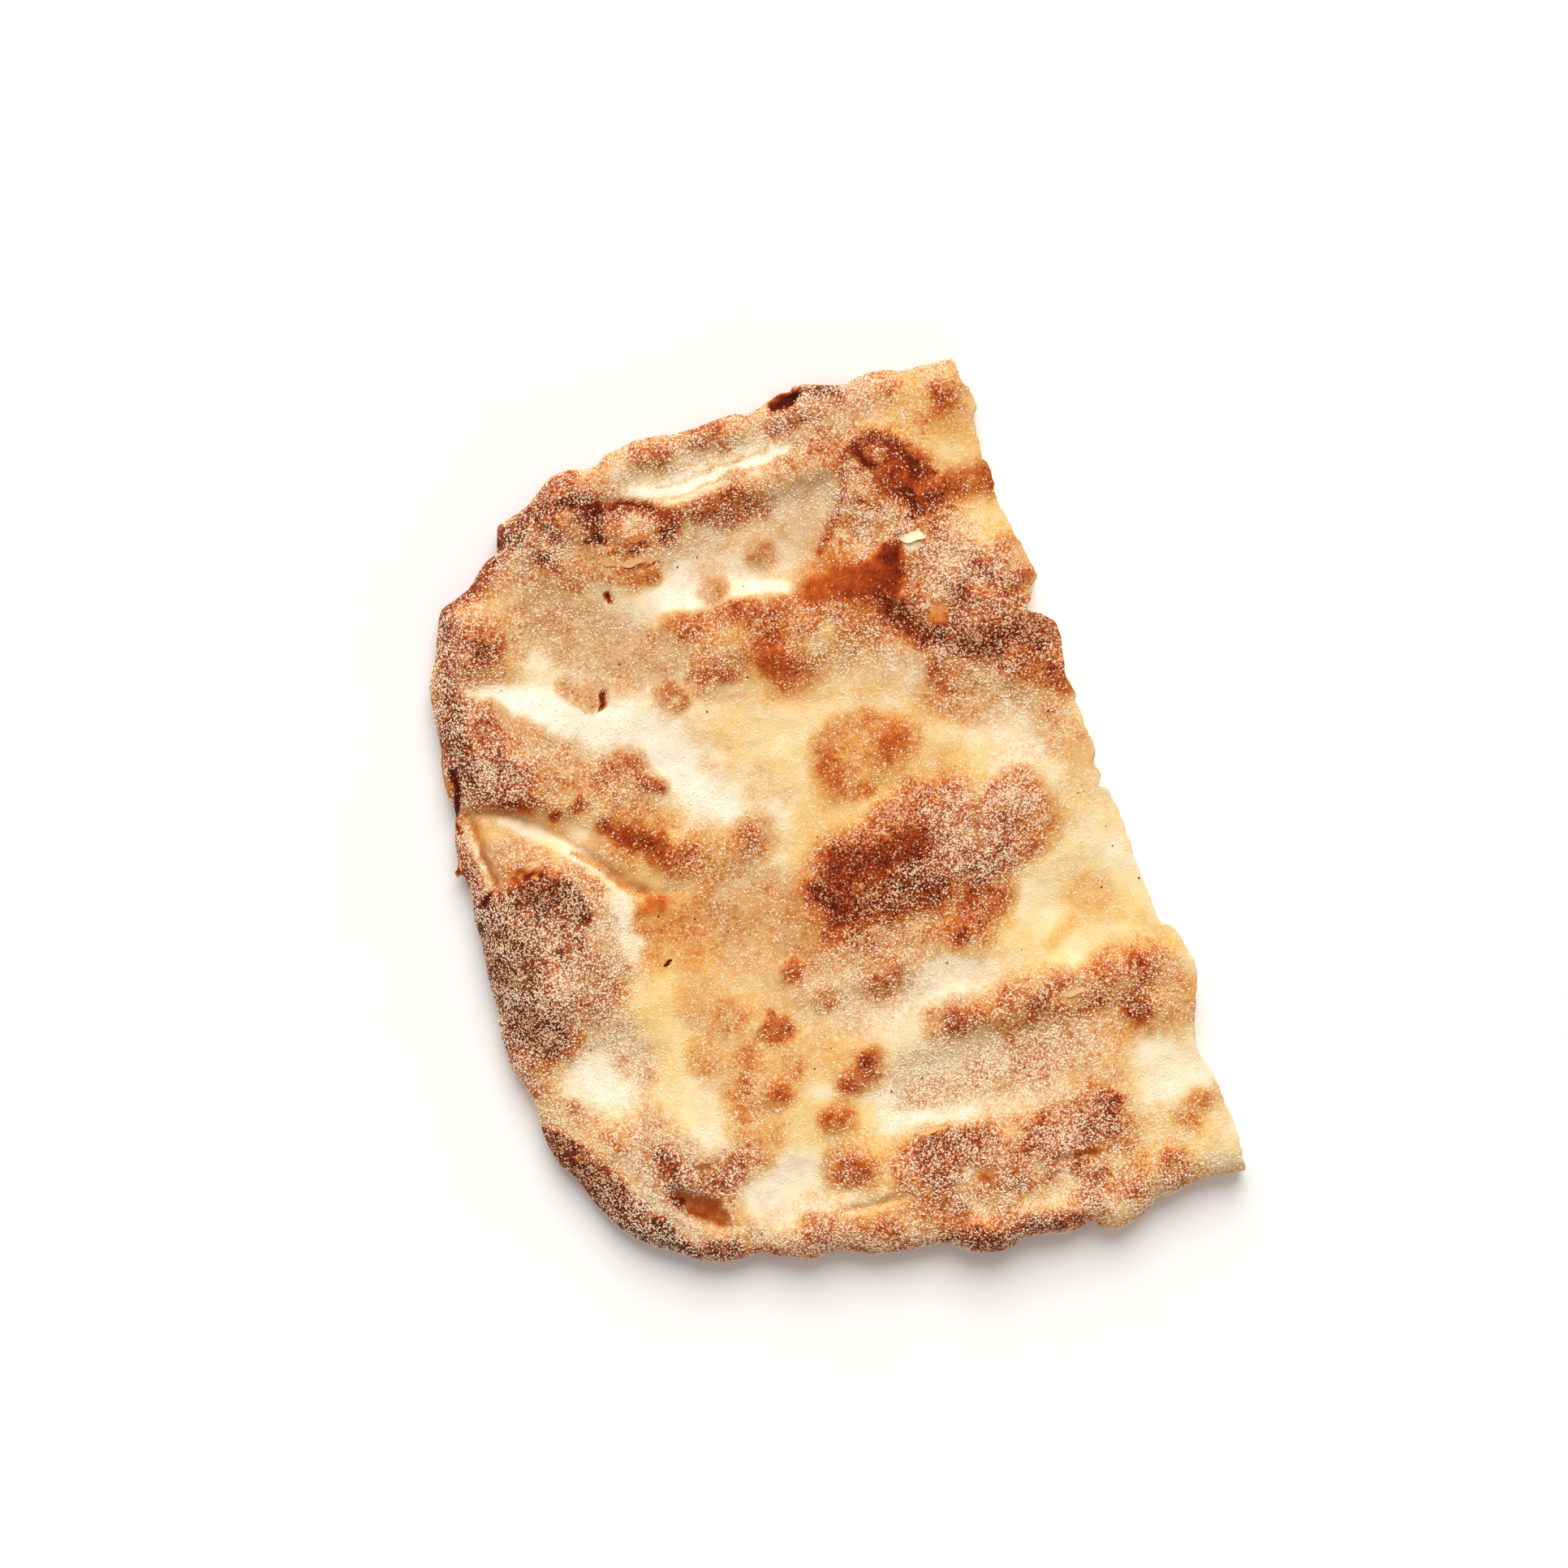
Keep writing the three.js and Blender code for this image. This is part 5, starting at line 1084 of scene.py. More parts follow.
# The lower crust shares the baked edge with the upper one and is on a coarser grid inside it.
grid_i, grid_j = np.meshgrid(np.arange(COLUMNS + 1), np.arange(ROWS + 1), indexing="ij")
on_edge = (grid_i == 0) | (grid_j == 0) | (grid_j == ROWS)
in_lower = ((grid_i % UNDER_STEP == 0) & (grid_j % UNDER_STEP == 0)) | (grid_i == COLUMNS)
in_lower &= ~on_edge
upper_id = np.arange(plan_x.size).reshape(plan_x.shape)
lower_id = np.where(on_edge, upper_id, -1)
lower_id[in_lower] = plan_x.size + np.arange(in_lower.sum())

# The cut face is a grid between the last columns of the two crusts, ragged with crumb holes.
level = (np.arange(1, WALL_LEVELS) / WALL_LEVELS)[:, None]
wall_y = np.repeat(plan_y[-1][None, 1:-1], WALL_LEVELS - 1, 0)
low, high = lower_z[-1][None, 1:-1], upper_z[-1][None, 1:-1]
wall_z = low + (high - low) * level
wall_x = plan_x[-1][None, 1:-1] - crumb_hollow(wall_y, wall_z, level + 0 * wall_y)
wall_x = wall_x + mottles(wall_y, wall_z, CRUMB_FACE)
wall_id = np.empty((WALL_LEVELS + 1, ROWS + 1), int)
wall_id[0], wall_id[-1] = lower_id[-1], upper_id[-1]
wall_id[:, 0], wall_id[:, -1] = upper_id[-1, 0], upper_id[-1, -1]
first_wall = plan_x.size + in_lower.sum()
wall_id[1:-1, 1:-1] = first_wall + np.arange(wall_x.size).reshape(wall_x.shape)


def joined(upper, lower, wall):
    """One value for each vertex, from the grids of the upper crust, lower crust and cut face."""
    return np.concatenate([upper.ravel(), lower[in_lower], wall.ravel()])


bread_xyz = np.stack([
    joined(plan_x, plan_x, wall_x) - MIDDLE[0],
    joined(plan_y, plan_y, wall_y) - MIDDLE[1],
    joined(upper_z, lower_z, wall_z),
], axis=-1) * MM


def quads(ids):
    """The four-sided faces of a grid of vertices, counter-clockwise as its indices grow."""
    return np.stack([ids[:-1, :-1], ids[1:, :-1], ids[1:, 1:], ids[:-1, 1:]], -1).reshape(-1, 4)


def lower_loop(i, j):
    """The vertices round a lower cell on an edge, seen from below, with every upper vertex on the
    sides that it shares with the baked edge or the cut."""
    loop = []
    i2, j2, step = i + UNDER_STEP, j + UNDER_STEP, UNDER_STEP
    for (a, b), (c, d), fine in (
        ((i, j), (i, j2), i == 0), ((i, j2), (i2, j2), j2 == ROWS),
        ((i2, j2), (i2, j), i2 == COLUMNS), ((i2, j), (i, j), j == 0),
    ):
        for k in range(step if fine else 1):
            n = step if fine else 1
            loop.append(int(lower_id[a + (c - a) * k // n, b + (d - b) * k // n]))
    return loop


coarse = quads(lower_id[::UNDER_STEP, ::UNDER_STEP])[:, ::-1]
cells_i, cells_j = COLUMNS // UNDER_STEP, ROWS // UNDER_STEP
edge_cell = np.zeros((cells_i, cells_j), bool)
edge_cell[[0, -1]] = edge_cell[:, [0, -1]] = True
under_faces = coarse[~edge_cell.ravel()].tolist()
under_faces += [lower_loop(i * UNDER_STEP, j * UNDER_STEP) for i, j in np.argwhere(edge_cell)]
wall_quads = quads(wall_id)[:, ::-1].tolist()
wall_faces = [[q for k, q in enumerate(face) if q != face[k - 1]] for face in wall_quads]
upper_faces = quads(upper_id).tolist()


def make_piece(name, points, faces):
    """A mesh object of these points and faces, riding on the only body."""
    mesh = bpy.data.meshes.new(name)
    mesh.from_pydata(points, [], faces)
    mesh.update()
    piece = bpy.data.objects.new(name, mesh)
    bpy.context.scene.collection.objects.link(piece)
    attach(piece, "root")
    return piece


bread = make_piece("bread", bread_xyz, upper_faces + under_faces + wall_faces)
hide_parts("pizza_bianca")
is_wall = np.zeros(len(bread.data.polygons), bool)
is_wall[len(upper_faces) + len(under_faces) :] = True
bread.data.polygons.foreach_set("use_smooth", ~is_wall)
bread.data.polygons.foreach_set("material_index", is_wall.astype(np.int32))

# The underside is browned all over, spotted where it touched the hot floor, and dusted too. It
# takes on the upper crust's look within a few millimetres of the seam.
UNDER_TOAST, UNDER_SPOTS = 0.46, [(0.14, 15, 61), (0.12, 6, 62)]
UNDER_FLOUR, UNDER_DRIFTS = 0.45, [(0.25, 11, 63)]
UNDER_DRY = 0.9
SEAM_REACH = 3  # mm, over which that look fades
CRUMB_TOAST = 0.05
CRUST_LINE_TOAST, CRUST_LINE = 0.40, 0.8  # what the line under each crust adds, and its mm
near_seam = np.exp(-to_edge / SEAM_REACH)
under_toast = UNDER_TOAST + mottles(plan_x, plan_y, UNDER_SPOTS)
under_toast = under_toast + (toast_and_painted_light - under_toast) * near_seam
under_flour = UNDER_FLOUR + mottles(plan_x, plan_y, UNDER_DRIFTS)
under_flour = under_flour + (flour - under_flour) * near_seam
to_crust = np.minimum(wall_z - low, high - wall_z)
wall_toast = CRUMB_TOAST + CRUST_LINE_TOAST * np.exp(-((to_crust / CRUST_LINE) ** 2))
for name, values in (
    ("toast_and_painted_light", joined(toast_and_painted_light, np.clip(under_toast, 0, 1), wall_toast)),
    ("flour", joined(flour, np.clip(under_flour, 0, 1), 0 * wall_z)),
    ("dry", joined(dry, 0 * dry + UNDER_DRY, 0 * wall_z)),
):
    bread.data.attributes.new(name, "FLOAT", "POINT").data.foreach_set("value", values)


def linear(hex_colour):
    """An sRGB hex colour as linear red, green, blue and alpha."""
    parts = [int(hex_colour[k : k + 2], 16) / 255 for k in (1, 3, 5)]
    return [c / 12.92 if c <= 0.04045 else ((c + 0.055) / 1.055) ** 2.4 for c in parts] + [1]


def add(tree, kind, inputs=(), output=0, stops=(), **settings):
    """Adds a node, sets its properties, fills or links its inputs, listed in order or named, gives
    a ramp its (position, colour) stops, and returns one of its outputs."""
    node = tree.nodes.new("ShaderNode" + kind)
    for name, value in settings.items():
        setattr(node, name, value)
    named = inputs if isinstance(inputs, dict) else dict(enumerate(inputs))
    for name, value in named.items():
        if isinstance(value, bpy.types.NodeSocket):
            tree.links.new(value, node.inputs[name])
        else:
            node.inputs[name].default_value = value
    for k, (position, colour) in enumerate(stops):
        elements = node.color_ramp.elements
        element = elements[k] if k < 2 else elements.new(position)
        element.position, element.color = position, linear(colour)
    return node.outputs[output] if node.outputs else None


def new_material(name, finish):
    """A material with its Principled shader, and the place in millimetres for its patterns."""
    material = bpy.data.materials.new(name)
    material.use_nodes = True
    tree = material.node_tree
    tree.nodes.clear()
    shader = add(tree, "BsdfPrincipled", finish)
    add(tree, "OutputMaterial", {"Surface": shader})
    place = add(tree, "TexCoord", output="Object")
    place_mm = add(tree, "VectorMath", {0: place, "Scale": 1 / MM}, operation="SCALE")
    return material, tree, shader.node, place_mm


# Baked crust: starch and oil browned by the oven, dry and matt, pimpled by tiny blisters about
# 2 mm across, and clouded with flour finer than the grains.
BLISTER_SIZE, PORE_SIZE, FLOUR_SPACING = 1.7, 0.6, 0.9  # mm
crust, tree, shader, place_mm = new_material(
    "baked_crust", {"Roughness": 0.65, "Specular IOR Level": 0.1})
# The browning level, with the painted shade and highlights in it.
toast_and_painted_light_at = add(tree, "Attribute", output="Fac", attribute_name="toast_and_painted_light")
flour_at = add(tree, "Attribute", output="Fac", attribute_name="flour")
dry_at = add(tree, "Attribute", output="Fac", attribute_name="dry")
blisters = add(tree, "TexNoise", {
    "Vector": place_mm, "Scale": 1 / BLISTER_SIZE, "Detail": 4, "Roughness": 0.65})
pores = add(tree, "TexNoise", {
    "Vector": place_mm, "Scale": 1 / PORE_SIZE, "Detail": 3, "Roughness": 0.65})
# The browning varies with the blisters and pores, more where it is brown. Oiled crust without
# flour is smooth, and floured crust is speckled.
speckle = add(tree, "Math", [flour_at, 1.6, 0.25], operation="MULTIPLY_ADD", use_clamp=True)
level_at = toast_and_painted_light_at
for pattern, on_brown, on_pale in ((blisters, 1.05, 0.10), (pores, 2.2, 0.02)):
    spread = add(tree, "Math", [toast_and_painted_light_at, on_brown, on_pale], operation="MULTIPLY_ADD")
    uneven = add(tree, "Math", [pattern, 0.5], operation="SUBTRACT")
    uneven = add(tree, "Math", [uneven, spread], operation="MULTIPLY")
    level_at = add(tree, "Math", [uneven, speckle, level_at], operation="MULTIPLY_ADD")
oiled = add(tree, "ValToRGB", [level_at], stops=[
    (0.0, "#fae6b2"), (0.125, "#f4d38c"), (0.25, "#ebb968"), (0.375, "#e19a4b"), (0.5, "#cf712c"),
    (0.625, "#b95218"), (0.75, "#9b370c"), (0.875, "#762305"), (1.0, "#521202")])
floured = add(tree, "ValToRGB", [level_at], stops=[
    (0.0, "#fcf6e9"), (0.125, "#f6e6cb"), (0.25, "#dfba8c"), (0.375, "#cf9c6a"), (0.5, "#bf6e36"),
    (0.625, "#ad4b1d"), (0.75, "#8c330e"), (0.875, "#692107"), (1.0, "#481304")])
colour = add(tree, "Mix", {0: dry_at, 6: oiled, 7: floured}, 2, data_type="RGBA")
# A thin veil of flour in cloudlets.
veil = add(tree, "TexNoise", {
    "Vector": place_mm, "Scale": 1 / PORE_SIZE, "Detail": 2, "Roughness": 0.7})
threshold = add(tree, "Math", [flour_at, 0.30, -0.76], operation="MULTIPLY_ADD")
veil = add(tree, "Math", [veil, threshold], operation="ADD")
veil = add(tree, "Math", [veil, 6.0], operation="MULTIPLY", use_clamp=True)
veil = add(tree, "Math", [veil, 0.12], operation="MULTIPLY")
colour = add(tree, "Mix", {0: veil, 6: colour, 7: linear("#e6bd98")}, 2, data_type="RGBA")
# Specks of flour baked on, 0.9 mm apart and of uneven strength, tan where the crust is brown.
baked_on = add(tree, "TexVoronoi", {"Vector": place_mm, "Scale": 1 / FLOUR_SPACING}).node
dots = add(tree, "Math", [0.45, baked_on.outputs["Distance"]], operation="SUBTRACT")
dots = add(tree, "Math", [dots, 5.0], operation="MULTIPLY", use_clamp=True)
strength = add(tree, "Math", [baked_on.outputs["Color"], 0.9, -0.25], operation="MULTIPLY_ADD",
               use_clamp=True)
strength = add(tree, "Math", [strength, flour_at], operation="MULTIPLY")
strength = add(tree, "Math", [strength, 1.4], operation="MULTIPLY")
dots = add(tree, "Math", [dots, strength], operation="MULTIPLY", use_clamp=True)
tan = add(tree, "ValToRGB", [toast_and_painted_light_at], stops=[
    (0.2, "#fdf0d8"), (0.5, "#f0c49a"), (0.9, "#d8966a")])
colour = add(tree, "Mix", {0: dots, 6: colour, 7: tan}, 2, data_type="RGBA")
tree.links.new(colour, shader.inputs["Base Color"])
# The specks, blisters and pores stand up, the latter two more where it is brown.
relief = add(tree, "Math", [dots, 0.25], operation="MULTIPLY")
for pattern, on_brown, on_pale in ((blisters, 2.0, 0.06), (pores, 0.7, 0.08)):
    height = add(tree, "Math", [toast_and_painted_light_at, on_brown, on_pale], operation="MULTIPLY_ADD")
    relief = add(tree, "Math", [pattern, height, relief], operation="MULTIPLY_ADD")
bump = add(tree, "Bump", {"Height": relief, "Strength": 0.8, "Distance": 0.5 * MM})
tree.links.new(bump, shader.inputs["Normal"])

# Open crumb: moist cooked dough with glossy-walled holes, cream with a toasted line under each
# crust. Its finest holes, 1.1 mm apart, are in the bump.
crumb, tree, shader, place_mm = new_material("open_crumb", {"Roughness": 0.5})
toast_and_painted_light_at = add(tree, "Attribute", output="Fac", attribute_name="toast_and_painted_light")
cells = add(tree, "TexVoronoi", {"Vector": place_mm, "Scale": 1 / 1.1})
uneven = add(tree, "TexNoise", {"Vector": place_mm, "Scale": 1 / 1.6, "Detail": 3})
uneven = add(tree, "Math", [uneven, 0.16, -0.08], operation="MULTIPLY_ADD")
level_at = add(tree, "Math", [toast_and_painted_light_at, uneven], operation="ADD")
colour = add(tree, "ValToRGB", [level_at], stops=[
    (0.0, "#fbf1dc"), (0.15, "#f4dfb5"), (0.3, "#e9c083"), (0.45, "#c98548")])
tree.links.new(colour, shader.inputs["Base Color"])
bump = add(tree, "Bump", {"Height": cells, "Strength": 0.7, "Distance": 0.4 * MM})
tree.links.new(bump, shader.inputs["Normal"])
bread.data.materials.append(crust)
bread.data.materials.append(crumb)


# --- The semolina ---------------------------------------------------------------------------------
# The baker dusts the peel and the dough with semolina, so grains of 0.2 to 0.8 mm stick to the
# crust. Each is a chip of six facets, sunk two fifths into the crust, at its true size.

STEEP_SHARE = 0.35  # of the semolina that stays where the crust is upright
CHIP_FLATNESS = 0.6  # a grain's height as a share of its width
CLUMPS = [(0.5, 1.6, 71), (0.3, 3.4, 72)]  # how it gathers, on an evenness of 0.8
LEAST_CLUMP = 0.12


def cell_normals(points):
    """Unit normals of a grid's cells, from the cross product of their diagonals, and their areas."""
    across = points[1:, 1:] - points[:-1, :-1]
    back = points[:-1, 1:] - points[1:, :-1]
    normal = np.cross(across, back)
    length = np.linalg.norm(normal, axis=-1, keepdims=True)
    return normal / np.maximum(length, 1e-12), length[..., 0] / 2


def scatter(points, weights, count, pick):
    """Random places on a grid's cells, as likely as a cell's area times its weight, less where it
    is steep, with the normals there and the cells' numbers."""
    normal, area = cell_normals(points)
    staying = STEEP_SHARE + (1 - STEEP_SHARE) * np.abs(normal[..., 2])
    weights = (weights[1:, 1:] + weights[:-1, :-1]) / 2 * area * staying
    cells = pick.choice(weights.size, count, p=weights.ravel() / weights.sum())
    i, j = np.unravel_index(cells, weights.shape)
    fu, fv = pick.random((2, count, 1))
    low = points[i, j] * (1 - fu) + points[i + 1, j] * fu
    high = points[i, j + 1] * (1 - fu) + points[i + 1, j + 1] * fu
    return low * (1 - fv) + high * fv, normal[i, j], i, j


# A chip is two three-sided pyramids, base to base.
CHIP = np.array([(1, 0, 0), (-0.5, 0.87, 0), (-0.5, -0.87, 0), (0, 0, 1), (0, 0, -1)])
CHIP_FACES = np.array([(0, 1, 3), (1, 2, 3), (2, 0, 3), (1, 0, 4), (2, 1, 4), (0, 2, 4)])


def chips(places, normals, halves, flatness, pick):
    """Chips each turned by chance round its normal: the corner (a, b, c) goes to
    place + a·half·side + b·half·other + (c + 0.2)·half·flatness·normal, and half is 0.75 to 1.25
    times the chip's own at each corner."""
    count = len(places)
    turn = pick.random((count, 1)) * 2 * math.pi
    helper = np.where(np.abs(normals[:, 2:]) < 0.9, [[0, 0, 1.0]], [[1.0, 0, 0]])
    first = np.cross(helper, normals)
    first /= np.linalg.norm(first, axis=-1, keepdims=True)
    second = np.cross(normals, first)
    side = first * np.cos(turn) + second * np.sin(turn)
    other = second * np.cos(turn) - first * np.sin(turn)
    scale = halves[:, None, None] * (0.75 + 0.5 * pick.random((count, 5, 1)))
    corners = CHIP[None] * scale
    points = places[:, None] + corners[..., :1] * side[:, None] + corners[..., 1:2] * other[:, None]
    lift = (corners[..., 2:] + 0.2 * halves[:, None, None]) * flatness
    faces = CHIP_FACES[None] + 5 * np.arange(count)[:, None, None]
    return (points + lift * normals[:, None]).reshape(-1, 3), faces.reshape(-1, 3)


upper_points = np.stack([plan_x - MIDDLE[0], plan_y - MIDDLE[1], upper_z], -1)
lower_points = np.stack([plan_x - MIDDLE[0], plan_y - MIDDLE[1], lower_z], -1)
pick = np.random.default_rng(11)
clumped = np.maximum(0.8 + mottles(plan_x, plan_y, CLUMPS), LEAST_CLUMP)

# Semolina: cracked durum endosperm, pale yellow, hard and slightly glassy.
semolina, tree, shader, place_mm = new_material("durum_semolina", {
    "Roughness": 0.5, "Specular IOR Level": 0.4, "Subsurface Weight": 0.15,
    "Subsurface Radius": (1.0, 0.9, 0.7), "Subsurface Scale": 0.4 * MM})
toast_and_painted_light_at = add(tree, "Attribute", output="Fac", attribute_name="toast_and_painted_light")
tone = add(tree, "TexNoise", {"Vector": place_mm, "Scale": 1 / 0.8, "Detail": 1})
tone = add(tree, "Math", [tone, 0.5], operation="SUBTRACT")
tone = add(tree, "Math", [tone, 0.6, toast_and_painted_light_at], operation="MULTIPLY_ADD")
colour = add(tree, "ValToRGB", [tone], stops=[
    (0.1, "#fff2d6"), (0.4, "#ffedcc"), (0.65, "#fde4c2"), (0.85, "#f5cda4"), (1.0, "#e4b286")])
tree.links.new(colour, shader.inputs["Base Color"])

# How many grains, their smallest and largest half size in mm, and where they lie: the finest are
# on pale dough too, and fewer on brown.
fine_weights = 0.2 * (1 - toast_and_painted_light) + flour * (1 - 0.7 * toast_and_painted_light)
for name, points, weights, count, (smallest, largest) in (
    ("semolina_coarse", upper_points, (0.01 + flour**1.4) * clumped, 33000, (0.23, 0.40)),
    ("semolina_medium", upper_points, (0.03 + flour**1.1) * clumped, 33000, (0.17, 0.29)),
    ("semolina_fine", upper_points, fine_weights * clumped, 30000, (0.10, 0.18)),
    ("semolina_under", lower_points[:, ::-1], (under_flour * clumped)[:, ::-1], 12000, (0.2, 0.3)),
):
    places, normals, i, j = scatter(points, weights, count, pick)
    halves = smallest + (largest - smallest) * pick.random(count)
    corners, faces = chips(places, normals, halves, CHIP_FLATNESS, pick)
    corners[:, 2] = np.maximum(corners[:, 2], 0.01)
    grains = make_piece(name, corners * MM, faces.tolist())
    # Grains have browned with the crust, more where it is oily, and take on its painted shade and
    # highlights too.
    browned_and_painted_light = toast_and_painted_light * (1.25 - 0.6 * dry) if points is upper_points else under_toast[:, ::-1]
    toasting = grains.data.attributes.new("toast_and_painted_light", "FLOAT", "POINT")
    toasting.data.foreach_set("value", np.repeat(browned_and_painted_light[i, j], len(CHIP)))
    grains.data.materials.append(semolina)


# --- The torn flakes ------------------------------------------------------------------------------
# Where a blister burst, thin flakes of its crust stand up to a millimetre off the dough. Each is a
# leaf held along one long edge and curled at the other. A bran husk is one of them.

# Middle, length, width, turn in degrees, lift of the free edge in mm, browning and dryness.
FLAKES = [
    ((54.2, 66), 6.4, 2.4, 166, 0.9, 0.05, 0.4), ((-12, 83.6), 6.4, 2.0, 174, 0.6, 0.34, 0.7),
    ((-9, 88.6), 5.0, 1.8, 166, 0.6, 0.48, 0.7), ((-17.6, 85.4), 4.0, 1.6, 150, 0.5, 0.36, 0.7),
    ((-64.2, 21.6), 4.8, 1.9, -14, 0.8, 0.46, 0.1),
    ((-60.2, 19.9), 3.6, 1.3, 24, 0.6, 0.44, 0.1), ((-46.6, -61.2), 4.4, 1.2, -14, 0.6, 0.44, 0.0),
    ((17.2, -87.2), 3.4, 1.7, -60, 0.6, 0.50, 0.0), ((42.8, -90), 6.0, 1.5, -20, 0.6, 0.54, 0.0),
    ((53.4, -52.2), 5.2, 1.6, 176, 0.4, 0.27, 0.8),
    ((-79, 26.6), 1.8, 1.0, 80, 0.4, 0.52, 0.0), ((-79.4, -31.2), 2.2, 1.2, 70, 0.4, 0.56, 0.0),
    ((-37.6, -11.6), 2.6, 0.9, 22, 0.3, 0.96, 0.0), ((9.4, -72.4), 7.2, 1.0, 176, 0.4, 0.30, 0.2),
]
LEAF_CELLS = (14, 5)
LEAF_THICKNESS = 0.25  # mm


def leaf(middle, length, width, turn, lift):
    """A flake's two skins over the crust. Along it runs u from -1 to 1, and across it v from 0 to
    1: its width is a share 0.15 + 0.85·sqrt(1 - u²), it sways by 0.12·width·sin(4u), and it rises
    by lift·v²·(1 - u²)."""
    u = np.linspace(-1, 1, LEAF_CELLS[0] + 1)[:, None]
    v = np.linspace(0, 1, LEAF_CELLS[1] + 1)[None, :]
    turn = math.radians(turn)
    along = u * length / 2 + 0 * v
    across = (v - 0.5) * width * (0.15 + 0.85 * np.sqrt(1 - u**2)) + 0.12 * width * np.sin(4 * u)
    x = middle[0] + along * math.cos(turn) - across * math.sin(turn)
    y = middle[1] + along * math.sin(turn) + across * math.cos(turn)
    to_rim = path_distance(baked_points, x, y)
    lying = upper_height(x, y, to_rim, upper_toast_and_painted_light(x, y, to_rim))
    top = lying + LEAF_THICKNESS / 2 + lift * v**2 * (1 - u**2)
    skins = [np.stack([x - MIDDLE[0], y - MIDDLE[1], z], -1) for z in (top, top - LEAF_THICKNESS)]
    return np.stack(skins).reshape(-1, 3)


leaf_grid = np.arange((LEAF_CELLS[0] + 1) * (LEAF_CELLS[1] + 1)).reshape(LEAF_CELLS[0] + 1, -1)
below = leaf_grid + leaf_grid.size
rim = np.concatenate([
    leaf_grid[:, 0], leaf_grid[-1, 1:], leaf_grid[-2::-1, -1], leaf_grid[0, -2::-1]])
sides = np.stack([rim[:-1], rim[:-1] + leaf_grid.size, rim[1:] + leaf_grid.size, rim[1:]], -1)
leaf_faces = np.concatenate([quads(leaf_grid), quads(below)[:, ::-1], sides])
corners = np.concatenate([leaf(*flake[:5]) for flake in FLAKES])
faces = (leaf_faces + 2 * leaf_grid.size * np.arange(len(FLAKES))[:, None, None]).reshape(-1, 4)
flakes = make_piece("torn_flakes", corners * MM, faces.tolist())
for k, name in ((5, "toast_and_painted_light"), (6, "dry")):
    values = np.repeat([flake[k] for flake in FLAKES], 2 * leaf_grid.size)
    flakes.data.attributes.new(name, "FLOAT", "POINT").data.foreach_set("value", values)
flakes.data.materials.append(crust)


# --- The charred specks ---------------------------------------------------------------------------
# Bran and flour left on the oven floor char, and single specks of 0.4 to 1 mm stick to the dough.

SPECKS = [
    (-37.3, 66.5), (-37, 59), (-35.5, 53), (-45.5, 15.3), (-37.5, 13), (-27.5, 8.3), (-31.5, 7),
    (-30, 4.7), (-14, 2), (-35.7, 0), (7.7, 4.7), (20.3, 28.8), (17.5, 21.3), (23, 21.7),
    (39.5, -34.2), (27, -34.7), (45, -38), (35.7, -65.3), (11, -59.5), (3.3, -59.7), (-7.3, -44.7),
    (-12.3, -48), (71, 14.7), (75, -17), (74.5, -22), (77.8, -31.3), (69, -30.5), (-39, -82),
    (-15.3, -93.6), (-7.7, -93), (3.3, 79.3), (-2.3, 78.7), (11.5, 68.7), (-24, 61.3),
    (-53.5, 65.3), (-62.7, -25.3), (-7.5, 43), (4.5, 47.7), (-28, -4), (-21, -9.5), (-35, -23),
    (20, -28), (-8, -33), (-38.5, -12),
]
spots = np.array(SPECKS, float)
nearest = [int(np.argmin((plan_x - a) ** 2 + (plan_y - b) ** 2)) for a, b in spots]
places = upper_points.reshape(-1, 3)[nearest]
normals = np.repeat([[0, 0, 1.0]], len(places), 0)
halves = 0.22 + 0.20 * pick.random(len(places))
corners, faces = chips(places, normals, halves, 0.5, pick)
specks = make_piece("charred_specks", corners * MM, faces.tolist())
# Char: matt, near black, browner where it is thin.
char, tree, shader, place_mm = new_material("charred_bran", {"Roughness": 0.7})
patchy = add(tree, "TexNoise", {"Vector": place_mm, "Scale": 1 / 0.5, "Detail": 1})
colour = add(tree, "ValToRGB", [patchy], stops=[(0.35, "#1d120b"), (0.65, "#4a2c17")])
tree.links.new(colour, shader.inputs["Base Color"])
specks.data.materials.append(char)


# --- The studio -----------------------------------------------------------------------------------
# A white floor, one large soft light from beyond the upper edge, and light from all round. The
# camera looks straight down through a long lens, rolled as the photograph was.

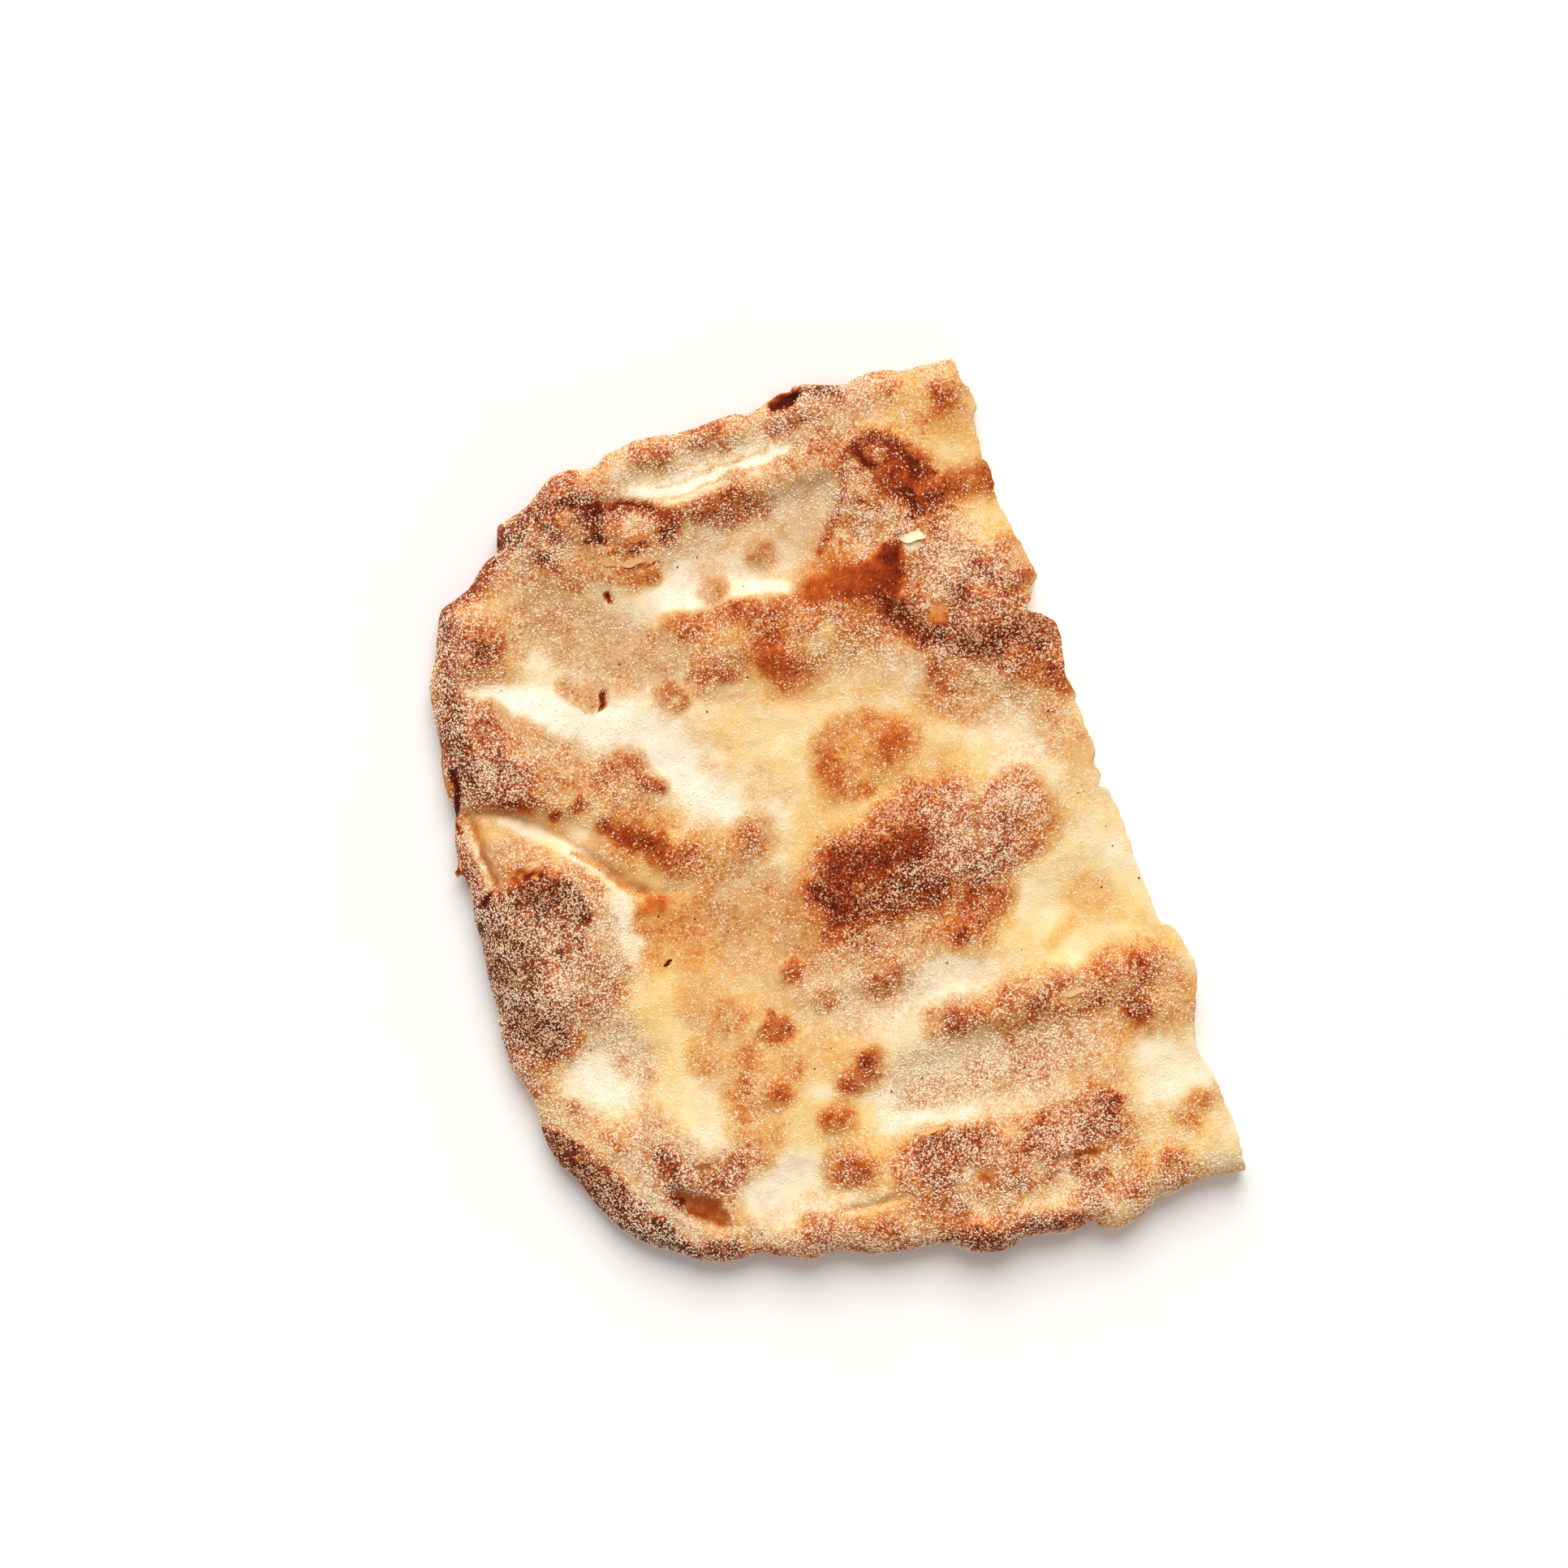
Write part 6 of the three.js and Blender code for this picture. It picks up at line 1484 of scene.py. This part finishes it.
ROLL = math.radians(-19.95)
VIEW_CENTRE = (4.11 - MIDDLE[0], 19.91 - MIDDLE[1])  # mm
FRAME_WIDTH = 386.4  # mm across the picture at the height of the baked edge
LENS, SENSOR = 100.0, 36.0
EDGE_PLANE = 6.0  # mm, the height of the baked edge
FLOOR_HALF = 2000  # mm
FLOOR_HEIGHT = -0.02  # mm: just under the flat of the crust, so that the two never coincide

floor_mesh = bpy.data.meshes.new("floor")
signs = ((-1, -1), (1, -1), (1, 1), (-1, 1))
corners = [(a * FLOOR_HALF * MM, b * FLOOR_HALF * MM, FLOOR_HEIGHT * MM) for a, b in signs]
floor_mesh.from_pydata(corners, [], [(0, 1, 2, 3)])
floor = bpy.data.objects.new("floor", floor_mesh)
bpy.context.scene.collection.objects.link(floor)
# Paper: matt white, very slightly clouded.
paper, tree, shader, place_mm = new_material(
    "white_paper", {"Roughness": 0.9, "Specular IOR Level": 0.1})
clouds = add(tree, "TexNoise", {"Vector": place_mm, "Scale": 1 / 40, "Detail": 1})
colour = add(tree, "ValToRGB", [clouds], stops=[(0.0, "#f8f8f8"), (1.0, "#fafafa")])
tree.links.new(colour, shader.inputs["Base Color"])
floor.data.materials.append(paper)

lamp = bpy.data.lights.new("key", "SUN")
lamp.energy = 2.80
lamp.angle = math.radians(45)
lamp.color = (0.98, 1.0, 1.0)
key = bpy.data.objects.new("key", lamp)
bpy.context.scene.collection.objects.link(key)
# The light comes from the top of the picture, 46 degrees above the floor.
key.rotation_euler = (math.radians(-44), 0, ROLL)

world = bpy.data.worlds.new("studio")
world.use_nodes = True
world.node_tree.nodes["Background"].inputs["Color"].default_value = (1, 0.92, 0.85, 1)
world.node_tree.nodes["Background"].inputs["Strength"].default_value = 0.47
bpy.context.scene.world = world
bpy.context.scene.view_settings.view_transform = "Standard"

camera = bpy.data.objects.new("camera", bpy.data.cameras.new("camera"))
bpy.context.scene.collection.objects.link(camera)
camera.data.lens, camera.data.sensor_width = LENS, SENSOR
distance = FRAME_WIDTH * LENS / SENSOR
camera.location = [c * MM for c in (*VIEW_CENTRE, EDGE_PLANE + distance)]
camera.rotation_euler = (0, 0, ROLL)
camera.data.clip_start, camera.data.clip_end = 0.05, 20
bpy.context.scene.camera = camera
